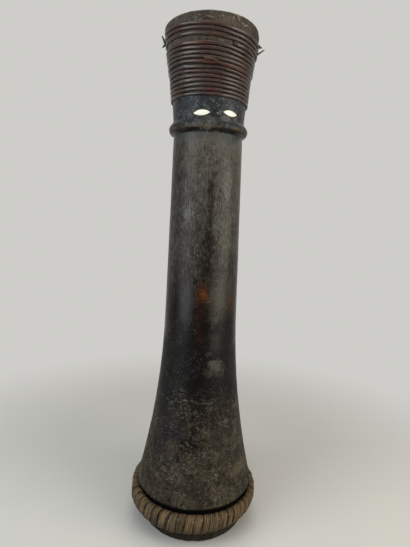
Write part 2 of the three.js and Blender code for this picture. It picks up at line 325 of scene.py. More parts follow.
# Finishes


class Graph:
    """Shader nodes of a material or of the surroundings."""

    def __init__(self, tree: bpy.types.NodeTree) -> None:
        """Empty a tree to start on."""
        self.tree = tree
        tree.nodes.clear()

    def feed(self, target: Socket, value: object) -> None:
        """Link a socket to an input, or set the input to a constant."""
        if isinstance(value, Socket):
            self.tree.links.new(value, target)
        else:
            target.default_value = value

    def node(self, kind: str, inputs: dict | None = None, **settings: object) -> bpy.types.Node:
        """Add a node.

        Args:
            kind: Blender's node type.
            inputs: values or sockets by input name or number.
            settings: the node's own properties.

        Returns:
            The node.
        """
        made = self.tree.nodes.new(kind)
        for key, value in settings.items():
            setattr(made, key, value)
        for key, value in (inputs or {}).items():
            self.feed(made.inputs[key], value)
        return made

    def sums(self, operation: str, *values: Value) -> Socket:
        """Work out a sum on up to three values."""
        return self.node("ShaderNodeMath", dict(enumerate(values)), operation=operation).outputs[0]

    def chained(self, operation: str, *values: Value) -> Value:
        """Work out one sum after another along a row of values."""
        result, *rest = values
        for value in rest:
            result = self.sums(operation, result, value)
        return result

    def times(self, *values: Value) -> Value:
        """Multiply values."""
        return self.chained("MULTIPLY", *values)

    def most(self, *values: Value) -> Value:
        """Give the greatest of some values."""
        return self.chained("MAXIMUM", *values)

    def plus(self, base: Value, value: Value, weight: float) -> Socket:
        """Add a weighted value to a base."""
        return self.sums("MULTIPLY_ADD", value, weight, base)

    def seen(self) -> Socket:
        """Tell whether the camera looks on, straight or by way of a mirror or glass."""
        rays = self.node("ShaderNodeLightPath").outputs
        return self.most(rays["Is Camera Ray"], rays["Is Glossy Ray"], rays["Is Transmission Ray"])


class Recipe(Graph):
    """Node graph of one material, on Object coordinates in metres."""

    def __init__(self, name: str) -> None:
        """Start a material with one surface shader."""
        self.material = bpy.data.materials.new(name)
        self.material.use_nodes = True
        super().__init__(self.material.node_tree)
        self.shader = self.node("ShaderNodeBsdfPrincipled")
        self.output = self.node("ShaderNodeOutputMaterial", {0: self.shader.outputs["BSDF"]})
        self.place: Socket = self.node("ShaderNodeTexCoord").outputs["Object"]

    def vector(self, operation: str, *values: object) -> Socket:
        """Work out a sum on up to two vectors."""
        made = self.node("ShaderNodeVectorMath", dict(enumerate(values)), operation=operation)
        return made.outputs["Value" if operation == "LENGTH" else "Vector"]

    def stretched(self, x: float, y: float, z: float) -> Socket:
        """Scale the coordinates along each axis."""
        return self.vector("MULTIPLY", self.place, (x, y, z))

    def level(self) -> Socket:
        """Give the height over the floor, in metres."""
        return self.node("ShaderNodeSeparateXYZ", {0: self.place}).outputs["Z"]

    def mark(self, name: str) -> Socket:
        """Read a mark that the mesh carries."""
        return self.node("ShaderNodeAttribute", attribute_name=name).outputs["Fac"]

    def cloud(
        self,
        scale: float,
        detail: float = 4,
        rough: float = 0.55,
        warp: float = 0,
        where: Socket | None = None,
    ) -> Socket:
        """Add cloudy noise.

        Args:
            scale: clouds per metre, or per unit of where.
            detail: octaves.
            rough: weight of the finer octaves.
            warp: distortion.
            where: coordinates, by default the object's.

        Returns:
            Values about 0.5.
        """
        inputs = {"Vector": where or self.place, "Scale": scale, "Detail": detail}
        inputs |= {"Roughness": rough, "Distortion": warp}
        return self.node("ShaderNodeTexNoise", inputs).outputs["Fac"]

    def fibre(self, along: float, across: float, detail: float, rough: float) -> Socket:
        """Add noise drawn out along a swept cane.

        Args:
            along: clouds per metre of its length.
            across: clouds per half of its width.
            detail: octaves.
            rough: weight of the finer octaves.

        Returns:
            Values about 0.5.
        """
        marks = {0: self.mark("along"), 1: self.mark("across")}
        place = self.node("ShaderNodeCombineXYZ", marks).outputs[0]
        return self.cloud(1, detail, rough, 0, self.vector("MULTIPLY", place, (along, across, 0)))

    def cells(self, scale: float, feature: str, output: str) -> Socket:
        """Add a pattern of cells."""
        inputs = {"Vector": self.place, "Scale": scale}
        return self.node("ShaderNodeTexVoronoi", inputs, feature=feature).outputs[output]

    def span(
        self, value: Value, low: float, high: float, start: float = 0.0, end: float = 1.0
    ) -> Socket:
        """Map a range smoothly to another, clamped."""
        inputs = {"Value": value, "From Min": low, "From Max": high, "To Min": start, "To Max": end}
        made = self.node("ShaderNodeMapRange", inputs, interpolation_type="SMOOTHSTEP")
        return made.outputs["Result"]

    def swayed(self, base: Socket, cloud: Socket, reach: float) -> Socket:
        """Shift a value up and down with noise about 0.5."""
        return self.plus(base, self.sums("SUBTRACT", cloud, 0.5), reach)

    def mixed(self, share: Value, first: Socket | Colour, second: Socket | Colour) -> Socket:
        """Mix two colours."""
        inputs = {0: share, 6: first, 7: second}
        return self.node("ShaderNodeMix", inputs, data_type="RGBA").outputs[2]

    def washed(self, tone: Socket, code: str, *shares: Value) -> Socket:
        """Lay a colour as seen over a tone, as far as the product of the shares."""
        return self.mixed(self.times(*shares), tone, paint(code))

    def scale_of(self, value: Socket, stops: Stops) -> Socket:
        """Colour a value by stops.

        Args:
            value: from 0 to 1.
            stops: places and seen colours, in rising order.

        Returns:
            The colour.
        """
        made = self.node("ShaderNodeValToRGB", {0: value})
        elements = made.color_ramp.elements
        for _ in stops[2:]:
            elements.new(0.5)
        for element, (place, code) in zip(elements, stops):
            element.position = place
            element.color = paint(code)
        return made.outputs["Color"]

    def relief(
        self, height: Socket, depth: float, strength: Value, under: Socket | None = None
    ) -> Socket:
        """Add fine relief of a depth in metres."""
        inputs = {"Height": height, "Distance": depth, "Strength": strength}
        if under is not None:
            inputs["Normal"] = under
        return self.node("ShaderNodeBump", inputs).outputs["Normal"]

    def surface(
        self, tone: Socket, shine: Value, normal: Socket | None = None, mirror: float = 0.5
    ) -> Material:
        """Set the shader.

        Args:
            tone: colour.
            shine: roughness.
            normal: relief, if any.
            mirror: specular level.

        Returns:
            The material.
        """
        self.feed(self.shader.inputs["Base Color"], tone)
        self.feed(self.shader.inputs["Roughness"], shine)
        self.shader.inputs["Specular IOR Level"].default_value = mirror
        if normal is not None:
            self.feed(self.shader.inputs["Normal"], normal)
        return self.material


@dataclass(frozen=True)
class Patch:
    """A stain, scuff or worn place, or a painted shade, shadow, sheen or highlight, by its angle in
    degrees and its sizes in millimetres.
    """

    angle: float
    level: float
    radius: float
    wide: float
    tall: float
    colour: str
    share: float
    rag: float = 2.0
    square: bool = False

    def mask(self, r: Recipe, ragged: Socket) -> Socket:
        """Mask the patch.

        Args:
            r: the material that it lies in.
            ragged: noise about 0.5 that tears its edge.

        Returns:
            Its share in the middle, 0 outside.
        """
        centre = around(self.radius, math.radians(self.angle), self.level) * METRES
        reach = Vector((self.wide, self.wide, self.tall)) * METRES
        scaled = r.vector("DIVIDE", r.vector("SUBTRACT", r.place, centre), reach)
        if self.square:
            sides = r.node("ShaderNodeSeparateXYZ", {0: scaled}).outputs
            length = r.most(*(r.sums("ABSOLUTE", side) for side in sides))
        else:
            length = r.vector("LENGTH", scaled)
        torn = r.plus(length, ragged, self.rag)
        return r.times(r.span(torn, 1.0 + self.rag / 2, FULL_REACH + self.rag / 2), self.share)


def patched(r: Recipe, tone: Socket, patches: Iterable[Patch], ragged: Socket) -> Socket:
    """Lay patches over a tone, one after another, with edges torn by noise."""
    for patch in patches:
        tone = r.washed(tone, patch.colour, patch.mask(r, ragged))
    return tone


@dataclass(frozen=True)
class PatinaWood:
    """Dark wood, rubbed and smoked: grey sheen above, black at the waist, mottled at the flare.

    Zones are placed by their share of the full height, which is in metres.
    """

    full_height: float = 0.6
    zones: Stops = (
        *((0.00, "2a2418"), (0.06, "241e16"), (0.10, "30291f"), (0.15, "382f25"), (0.20, "2a241d")),
        *((0.25, "17130f"), (0.29, "090706"), (0.32, "050404"), (0.37, "040304"), (0.43, "060404")),
        *((0.47, "120c09"), (0.53, "231c18"), (0.60, "34302b"), (0.68, "3e3a34"), (0.74, "48443d")),
        *((0.785, "524e46"), (0.81, "252727"), (0.828, "282b2d"), (0.86, "292d31")),
    )
    crust_tones: Stops = ((0.36, "15120e"), (0.45, "231e17"), (0.54, "312b21"), (0.64, "423a2d"))
    patches: tuple[Patch, ...] = (
        # Partly a real dark streak, partly painted shade between the two sheens: these two darken
        # the middle of the shaft.
        Patch(-5, 345, 43.5, 7, 72, "0b0807", 0.68, 4.0),
        Patch(-3, 405, 42.5, 5, 40, "14100c", 0.55, 5.0),
        Patch(24, 425, 42.5, 8, 26, "77736a", 0.4, 6.0),
        Patch(-36, 392, 42.5, 8, 10, "77766f", 0.35, 6.0),
        Patch(-17, 270, 45, 5, 26, "220b06", 0.5, 5.5),
        Patch(-9, 246, 46, 8, 9, "220c06", 0.5, 6.0),
        Patch(-9, 307, 44.5, 8, 8, "2e150c", 0.6, 6.0),
        Patch(-12, 280, 45, 9, 22, "1f0a05", 0.55, 6.0),
        Patch(-9.5, 296, 44.8, 8, 11, "402009", 0.75, 7.0, True),
        Patch(-8, 299, 44.8, 5, 6, "66380f", 0.5, 7.0),
        Patch(-11, 288, 45, 6, 6, "0d0503", 0.6, 7.0),
        # Painted sheen: the next four pale patches lie where lamp reflections fall on the waist,
        # three on its right and one on its left.
        Patch(27, 300, 44.5, 18, 36, "4a463e", 0.4, 2.5),
        Patch(13, 296, 44.6, 13, 44, "4c4840", 0.5, 3.0),
        Patch(12, 238, 46.8, 11, 24, "38352f", 0.45, 4.0),
        Patch(-34, 288, 44.8, 12, 38, "434249", 0.35, 3.5),
        Patch(2, 296, 44.8, 7, 7, "4a3826", 0.4, 6.0),
        Patch(46, 287, 44.8, 9, 16, "40210d", 0.6, 5.0),
        Patch(14, 211, 48.5, 11, 11, "4b4a3f", 0.8, 4.0, True),
        Patch(3, 205, 49, 9, 7, "3a3428", 0.5, 5.0),
        Patch(10, 207, 48.8, 6, 5, "16140f", 0.5, 7.0),
        Patch(4, 228, 47.5, 8, 5, "33342f", 0.5, 5.0),
        Patch(-16, 192, 50.5, 20, 18, "030202", 0.95, 3.5),
        Patch(-50, 178, 52, 22, 16, "0a090d", 0.85, 3.5),
        Patch(-52, 157, 54, 30, 17, "0f0d13", 0.8, 3.5),
        Patch(16, 157, 54, 15, 12, "1a160f", 0.5, 4.0),
        Patch(28, 102, 62.5, 17, 14, "1a1611", 0.6, 4.0),
        Patch(-5, 100, 62.5, 13, 12, "1a1610", 0.45, 4.0),
        Patch(45, 82, 66, 26, 10, "5a5240", 0.4, 3.0),
        Patch(-42, 134, 57.5, 27, 20, "100e15", 0.8, 3.5),
        Patch(-60, 112, 61, 20, 30, "17141a", 0.5, 3.0),
        Patch(-42, 98, 62, 14, 12, "211b18", 0.5, 3.0),
        # Painted shade: darker down the shaft's left side, away from the lamps.
        Patch(-78, 450, 42, 30, 100, "151312", 0.7, 1.5),
        Patch(24, 372, 43, 12, 60, "6e6b60", 0.25, 4.0),
        # Painted highlight: a pale spot on the collar's top at the right.
        Patch(14, 496, 45, 9, 5, "6d6f6c", 0.5, 3.0),
        # Painted shade: these two darken the right-hand edge of the collar and of the neck.
        Patch(66, 487, 46.5, 28, 11, "120f0c", 0.75, 1.2),
        Patch(66, 505, 42.6, 26, 14, "2c2620", 0.55, 1.5),
        # Painted shade: black inside the slit pricked in the shaft.
        Patch(11.4, 417.7, 42.2, 0.9, 2.3, "010101", 1.0, 0.3),
        Patch(1.3, 501.5, 42, 1.2, 1.2, "a09a8c", 0.8, 0.5),
    )
    scratched: Patch = Patch(-26, 164, 53, 52, 36, "5a5242", 0.65, 2.0)
    pitted: Patch = Patch(-14, 160, 56, 30, 95, "040302", 1.0, 2.5)
    dust_and_sheen: str = "6a6a66"
    soot: str = "14110f"
    neck_bloom: str = "5b6067"
    neck_shade: str = "131417"
    hairline: str = "0d0a08"
    rubbed_grain: str = "85817a"
    pores: str = "080605"
    specks: str = "7d776b"
    waist_flecks: str = "4d483d"
    flare_lines: str = "736c5e"
    collar_low: str = "434947"
    painted_collar_shade: str = "0d0907"
    collar_edge: str = "4f4028"
    painted_foot_shade: str = "0c0906"
    hoop_seat_shadow: str = "060504"

    def material(self) -> Material:
        """Make the material."""
        r = Recipe("patina_wood")
        level = r.level()
        height = r.sums("DIVIDE", level, self.full_height)
        mottle = r.cloud(75, 9, 0.76, 0.3)
        stipple = r.cloud(430, 5, 0.7)
        dash = r.cloud(1, 4, 0.62, 0.15, r.stretched(620, 620, 140))
        blotch = r.cloud(95, 6, 0.72, 0.3)
        shifted = r.swayed(height, r.cloud(24, 6, 0.62, 0.5), 0.1)
        ragged = r.swayed(r.swayed(shifted, mottle, 0.55), r.cloud(240, 5, 0.7), 0.36)
        torn = r.plus(r.times(mottle, 0.65), stipple, 0.35)
        flare = r.span(ragged, 0.28, 0.24)
        waist = r.times(r.span(shifted, 0.27, 0.31), r.span(shifted, 0.54, 0.46))
        shaft = r.times(r.span(shifted, 0.46, 0.58), r.span(height, 0.8, 0.785))
        top = r.span(height, 0.79, 0.82)
        dull = r.most(shaft, top)

        tone = r.mixed(flare, r.scale_of(shifted, self.zones), self.crust(r))
        # Grey mottle over the shaft and the neck's top: partly dust, partly painted sheen.
        dusty = r.most(shaft, r.times(top, 0.7))
        tone = r.washed(tone, self.dust_and_sheen, r.span(mottle, 0.5, 0.62), dusty, 0.3)
        tone = r.washed(tone, self.soot, r.span(mottle, 0.47, 0.38), dull, 0.45)
        tone = r.washed(tone, self.neck_bloom, r.span(blotch, 0.52, 0.62), top, 0.4)
        tone = r.washed(tone, self.neck_shade, r.span(blotch, 0.47, 0.38), top, 0.55)
        tone = patched(r, tone, self.patches, torn)
        scratches = r.span(r.cloud(1, 5, 0.74, 0.7, r.stretched(160, 160, 440)), 0.53, 0.58)
        clusters = r.span(r.cloud(44, 4), 0.42, 0.54)
        scuffed = self.scratched.mask(r, torn)
        tone = r.washed(tone, self.scratched.colour, scratches, clusters, scuffed)
        strong = r.span(shaft, 0, 1, 0.1, 0.55)
        tone = r.washed(tone, self.hairline, r.span(dash, 0.54, 0.64), strong)
        tone = r.washed(tone, self.rubbed_grain, r.span(dash, 0.45, 0.34), shaft, 0.24)
        tone = r.washed(tone, self.pores, r.span(stipple, 0.52, 0.62), 0.5)
        dry = r.most(r.times(flare, 0.3), r.times(top, 0.5))
        tone = r.washed(tone, self.specks, r.span(stipple, 0.43, 0.36), dry)
        flecks = r.span(r.cloud(480, 5, 0.75), 0.53, 0.62)
        swarms = r.span(r.cloud(26, 6, 0.7), 0.4, 0.58)
        tone = r.washed(tone, self.waist_flecks, flecks, swarms, waist, 0.5)
        tone = self.collar(r, tone, level)

        shine = r.plus(r.span(mottle, 0.4, 0.62, 0.17, 0.25), dull, 0.1)
        shine = r.plus(shine, flare, 0.16)
        shine = r.plus(shine, r.span(shifted, 0.43, 0.385), 0.22)
        shine = r.plus(shine, r.span(stipple, 0.42, 0.62), 0.06)
        normal = r.relief(dash, 0.0004, 0.2)
        normal = r.relief(mottle, 0.0012, r.span(shifted, 0.5, 0.4, 0.16, 0.26), normal)
        normal = r.relief(stipple, 0.0003, r.span(shifted, 0.5, 0.42, 0.25, 0.95), normal)
        return r.surface(tone, shine, normal, 0.09)

    def crust(self, r: Recipe) -> Socket:
        """Colour the flare: a dry tan crust with fine pale lines and black pits."""
        tone = r.scale_of(r.cloud(64, 8, 0.82, 0.3), self.crust_tones)
        ridge = r.sums("ABSOLUTE", r.sums("SUBTRACT", r.cloud(130, 3, 0.55, 1.1), 0.5))
        lines = r.times(r.span(ridge, 0.026, 0.008), r.span(r.cloud(40, 3), 0.42, 0.54))
        tone = r.washed(tone, self.flare_lines, lines, 0.55)
        holes = r.span(r.cloud(170, 4, 0.62, 0.6), 0.5, 0.525)
        middle = self.pitted.mask(r, r.cloud(60, 5))
        clusters = r.most(r.span(r.cloud(30, 5, 0.65), 0.52, 0.62, 0.0, 0.7), middle)
        return r.washed(tone, self.pitted.colour, holes, clusters)

    def collar(self, r: Recipe, tone: Socket, level: Socket) -> Socket:
        """Paint shade under the collar's bead, rub its edge bright, paint shade on the foot under
        the hoop and paint shadow on the hoop's seat.
        """

        def band(middle: float, far: float, near: float) -> Socket:
            """Mask a level band that fades from near to far of its middle, in metres."""
            return r.span(r.sums("ABSOLUTE", r.sums("SUBTRACT", level, middle)), far, near)

        flow = r.cloud(60, 6, 0.7)
        below, under = band(0.4765, 0.009, 0.003), band(0.4836, 0.003, 0.0016)
        edge, seat = band(0.4868, 0.002, 0.0007), band(0.0445, 0.007, 0.0035)
        tone = r.washed(tone, self.collar_low, below, r.span(flow, 0.38, 0.6), 0.5)
        # Painted shade: a dark band just under the collar's bead, in its crease.
        tone = r.washed(tone, self.painted_collar_shade, under, r.span(flow, 0.42, 0.57, 0.15, 0.92))
        tone = r.washed(tone, self.collar_edge, edge, r.span(flow, 0.46, 0.58, 0.0, 0.7))
        # Painted shade: darkens the foot below the hoop, towards the floor.
        tone = r.washed(tone, self.painted_foot_shade, r.span(level, 0.024, 0.014, 0.0, 0.65))
        # Painted shadow: blackens the wood in the gap behind the hoop's top.
        return r.washed(tone, self.hoop_seat_shadow, seat)


@dataclass(frozen=True)
class LizardSkin:
    """Dry scaly hide, olive brown with pale flecks, worn on the lip."""

    scales: float = 420
    dark: str = "30261f"
    pale: str = "554b3d"
    seams: str = "130e0a"
    stains: str = "1f1914"
    dusty: Patch = Patch(20, 595.5, 52.5, 17, 7, "827a6a", 0.6, 2.0)
    marks: tuple[Patch, ...] = (
        # Painted shadow: a thin dark line under the edge of the skin's lip, at the front.
        Patch(-18, 592.7, 52.6, 15, 0.8, "1c100b", 0.75, 0.6),
        Patch(-16, 589.8, 52.4, 14, 3.0, "42251a", 0.5, 2.5),
        Patch(-70, 592, 52.5, 26, 9, "3a2c30", 0.45, 3.0),
        Patch(62, 590, 53, 32, 18, "2a2416", 0.8, 1.6),
        # Painted shadow: the crease under the sagging skin at the right, over the top turn.
        Patch(57, 587.6, 53.5, 15, 1.2, "0a0604", 0.9, 0.5),
    )

    def material(self) -> Material:
        """Make the material."""
        r = Recipe("lizard_skin")
        wide = r.cloud(22, 5, 0.6, 0.5)
        tone = r.mixed(r.span(wide, 0.36, 0.64), paint(self.dark), paint(self.pale))
        cell = r.cells(self.scales, "F1", "Color")
        tint = r.node("ShaderNodeSeparateColor", {0: cell}).outputs[0]
        streaks = r.cloud(1, 5, 0.7, 0, r.stretched(170, 170, 420))
        flecks = r.times(r.span(tint, 0.42, 0.7), r.span(streaks, 0.48, 0.58))
        dusty = r.sums("ADD", self.dusty.mask(r, wide), 0.42)
        tone = r.washed(tone, self.dusty.colour, flecks, dusty)
        tone = patched(r, tone, self.marks, r.cloud(90, 6, 0.7))
        edge = r.cells(self.scales, "DISTANCE_TO_EDGE", "Distance")
        tone = r.washed(tone, self.seams, r.span(edge, 0.1, 0.0), 0.8)
        tone = r.washed(tone, self.stains, r.span(r.cloud(75, 6, 0.72), 0.5, 0.62), 0.55)
        normal = r.relief(r.span(edge, 0.0, 0.25), 0.0004, 0.5)
        normal = r.relief(r.cloud(1500, 3), 0.0002, 0.2, normal)
        shine = r.span(wide, 0.3, 0.7, 0.45, 0.65)
        return r.surface(tone, shine, normal, 0.2)


@dataclass(frozen=True)
class SplitCane:
    """Glossy red-brown cane, streaked along its length, with stains and grime, and painted shade on
    its edges where the turns meet.
    """

    tones: Stops = (
        *((0.3, "1d0f08"), (0.42, "2a170d"), (0.55, "351d0f")),
        *((0.62, "451809"), (0.67, "4a1c09"), (0.74, "3c2211")),
    )
    streaks: str = "140d0b"
    grime: str = "382f25"
    painted_groove_shade: str = "0a0605"
    stains: tuple[Patch, ...] = (
        Patch(36, 545, 49, 8, 28, "3c200f", 0.55, 2.5),
        Patch(-55, 584, 53, 7, 6, "35161a", 0.45, 2.5),
        Patch(-52, 566, 51, 6, 5, "38171a", 0.45, 2.5),
        Patch(-16, 570, 51, 7, 4, "40160d", 0.5, 2.5),
        Patch(-2, 537.5, 48, 9, 3, "441a0a", 0.5, 2.0),
        Patch(-8, 521.5, 46, 10, 3, "3a180c", 0.5, 2.0),
        # Painted shadow: the dark line under the lapping start of the lower cane.
        Patch(-2, 549.3, 50.5, 8, 1.0, "0a0605", 0.8, 0.6),
        Patch(-18, 588.5, 54.5, 14, 3.2, "3c1f17", 0.7, 2.0),
        Patch(40, 560, 51, 8, 8, "352014", 0.65, 2.5),
        # Painted shade: these two darken the binding towards its right and left sides.
        Patch(70, 546, 48, 30, 40, "1c0b04", 0.85, 1.4),
        Patch(-82, 552, 49, 30, 48, "110a07", 0.65, 1.4),
    )

    def material(self) -> Material:
        """Make the material."""
        r = Recipe("split_cane")
        fibre = r.fibre(60, 4.0, 4, 0.6)
        edge = r.span(r.sums("ABSOLUTE", r.mark("across")), 0.78, 1.0)
        tone = r.scale_of(r.fibre(22, 0.0, 4, 0.55), self.tones)
        tone = r.washed(tone, self.streaks, r.span(fibre, 0.45, 0.68), 0.5)
        tone = r.washed(tone, self.grime, r.span(r.cloud(46, 7, 0.75), 0.47, 0.58), 0.62)
        # Painted shade: the cane's edges darken where the turns meet, as in shadowed gaps.
        tone = r.washed(tone, self.painted_groove_shade, edge, 0.85)
        tone = patched(r, tone, self.stains, r.cloud(80, 6, 0.7))
        shine = r.plus(r.span(r.cloud(70, 5, 0.66), 0.42, 0.62, 0.12, 0.44), edge, 0.35)
        return r.surface(tone, shine, r.relief(fibre, 0.0003, 0.5), 0.43)


@dataclass(frozen=True)
class CaneStrip:
    """Dry fibrous strip, tan and grey, with painted shade in the seams, widest at the front left.
    """

    tones: Stops = ((0.34, "3d2f1d"), (0.44, "4c3b25"), (0.54, "574329"), (0.64, "655033"))
    gaping_seam_shade: Patch = Patch(-42, 34, 78, 44, 40, "0d0906", 0.2, 1.5)
    streaks: str = "1a130c"
    pale: str = "81704f"
    frayed: str = "97835c"
    stains: str = "302920"
    painted_underside_shade: str = "1a130b"

    def material(self) -> Material:
        """Make the material."""
        r = Recipe("cane_strip")
        fibre = r.fibre(34, 4.2, 5, 0.7)
        across = r.sums("ABSOLUTE", r.mark("across"))
        tone = r.scale_of(r.fibre(14, 0.0, 4, 0.6), self.tones)
        tone = r.washed(tone, self.streaks, r.span(fibre, 0.5, 0.56), 0.85)
        tone = r.washed(tone, self.pale, r.span(fibre, 0.46, 0.39), 0.6)
        open_seam = r.span(r.cloud(55, 4, 0.6), 0.4, 0.56, 0.35, 1.0)
        # Painted shade: the strip's edges darken in the seams, more over the gaping area at the
        # left of the front.
        edge = r.span(r.sums("ADD", across, self.gaping_seam_shade.mask(r, r.cloud(40, 3))), 0.8, 1.0)
        tone = r.washed(tone, self.gaping_seam_shade.colour, edge, open_seam, 0.9)
        fray = r.times(r.span(r.cloud(420, 3, 0.6), 0.6, 0.66), r.span(across, 0.5, 0.9))
        tone = r.washed(tone, self.frayed, fray, 0.7)
        tone = r.washed(tone, self.stains, r.span(r.cloud(38, 5, 0.65), 0.5, 0.68), 0.5)
        # Painted shade: darker low on the hoop, towards the floor.
        tone = r.washed(tone, self.painted_underside_shade, r.span(r.level(), 0.036, 0.023, 0.0, 0.6))
        return r.surface(tone, 0.72, r.relief(fibre, 0.0006, 0.7), 0.25)


@dataclass(frozen=True)
class WhiteShell:
    """Polished shell with faint growth lines and a yellowed edge."""

    white: str = "f2f2e8"
    growth: str = "ded9c5"
    yellowed: str = "b8ab8a"

    def material(self) -> Material:
        """Make the material."""
        r = Recipe("white_shell")
        lines = r.cloud(1, 3, 0.5, 0.4, r.stretched(140, 140, 900))
        tone = r.mixed(r.span(lines, 0.35, 0.7), paint(self.white), paint(self.growth))
        tone = r.washed(tone, self.yellowed, r.span(r.mark("across"), 0.92, 1.0), 0.5)
        return r.surface(tone, 0.36, r.relief(lines, 0.0001, 0.2), 0.35)


@dataclass(frozen=True)
class TwoTone:
    """A plain finish: one noise between two colours, which also sets the shine and the relief."""

    name: str
    grain: tuple[float, float, float]
    warp: float
    dark: str
    pale: str
    spread: tuple[float, float]
    shine: tuple[float, float]
    relief: tuple[float, float]

    def material(self) -> Material:
        """Make the material."""
        r = Recipe(self.name)
        cloud = r.cloud(1, 5, 0.6, self.warp, r.stretched(*self.grain))
        tone = r.mixed(r.span(cloud, *self.spread), paint(self.dark), paint(self.pale))
        low, high = self.shine
        shine = low if low == high else r.span(cloud, 0.3, 0.7, low, high)
        return r.surface(tone, shine, r.relief(cloud, *self.relief))


BARE_CANE = TwoTone(
    "bare_cane", (60, 60, 700), 0.3, "2a2117", "4a3b28", (0.35, 0.65), (0.8, 0.8), (0.0003, 0.4)
)
TREE_GUM = TwoTone(
    "tree_gum", (500, 500, 500), 0.0, "17130f", "332b22", (0.35, 0.7), (0.6, 0.6), (0.0004, 0.6)
)
BEESWAX = TwoTone(
    "beeswax", (240, 240, 240), 0.8, "2a1c10", "4d3620", (0.35, 0.68), (0.35, 0.55), (0.0004, 0.4)
)


# Pieces


@dataclass(frozen=True)
class EyeForm:
    """Outline and place of the shell eyes."""

    length: float = 19.2
    height: float = 6.1
    spread: float = 22.8
    level: float = 502.2
    slant: float = 2.8
    step_up: float = 0.9
    neck_radius: float = 42.4
    neck_lean: float = 0.07

    @property
    def arc_radius(self) -> float:
        """Radius of the two arcs that bound the lens."""
        return (self.length**2 + self.height**2) / (4 * self.height)

    @property
    def arc_centre(self) -> float:
        """How far each arc's middle lies from the lens's long axis."""
        return self.arc_radius - self.height / 2

    def edge(self, turn: float, offset: float) -> tuple[float, float]:
        """Give the point of the lens's edge at a turn in radians, grown by an offset."""
        radius = self.arc_radius + offset
        reach = math.sqrt(radius**2 - self.arc_centre**2)
        x = reach * math.cos(turn)
        y = math.sqrt(max(0.0, radius**2 - x**2)) - self.arc_centre
        return x, math.copysign(y, math.sin(turn))

    def depth_in(self, point: Vector, side: Side) -> float:
        """Give how far a point of the neck lies inside the lens's edge, negative outside it."""
        angle = math.atan2(point.x, -point.y) - math.radians(self.spread) * side.value
        y = point.z - self.level - self.step_up * side.value
        x, y = rotated(angle * self.neck_radius, y, math.radians(self.slant) * side.value)
        return self.arc_radius - math.hypot(x, abs(y) + self.arc_centre)

    def on_neck(self, x: float, y: float, out: float, side: Side) -> Vector:
        """Lay a point of the flat lens on the neck's curve.

        Args:
            x: along the lens.
            y: across it.
            out: above the wood.
            side: which eye.

        Returns:
            The place on the neck.
        """
        u, v = rotated(x, y, -math.radians(self.slant) * side.value)
        angle = math.radians(self.spread) * side.value + u / self.neck_radius
        radius = self.neck_radius + out + self.neck_lean * v
        return around(radius, angle, self.level + self.step_up * side.value + v)


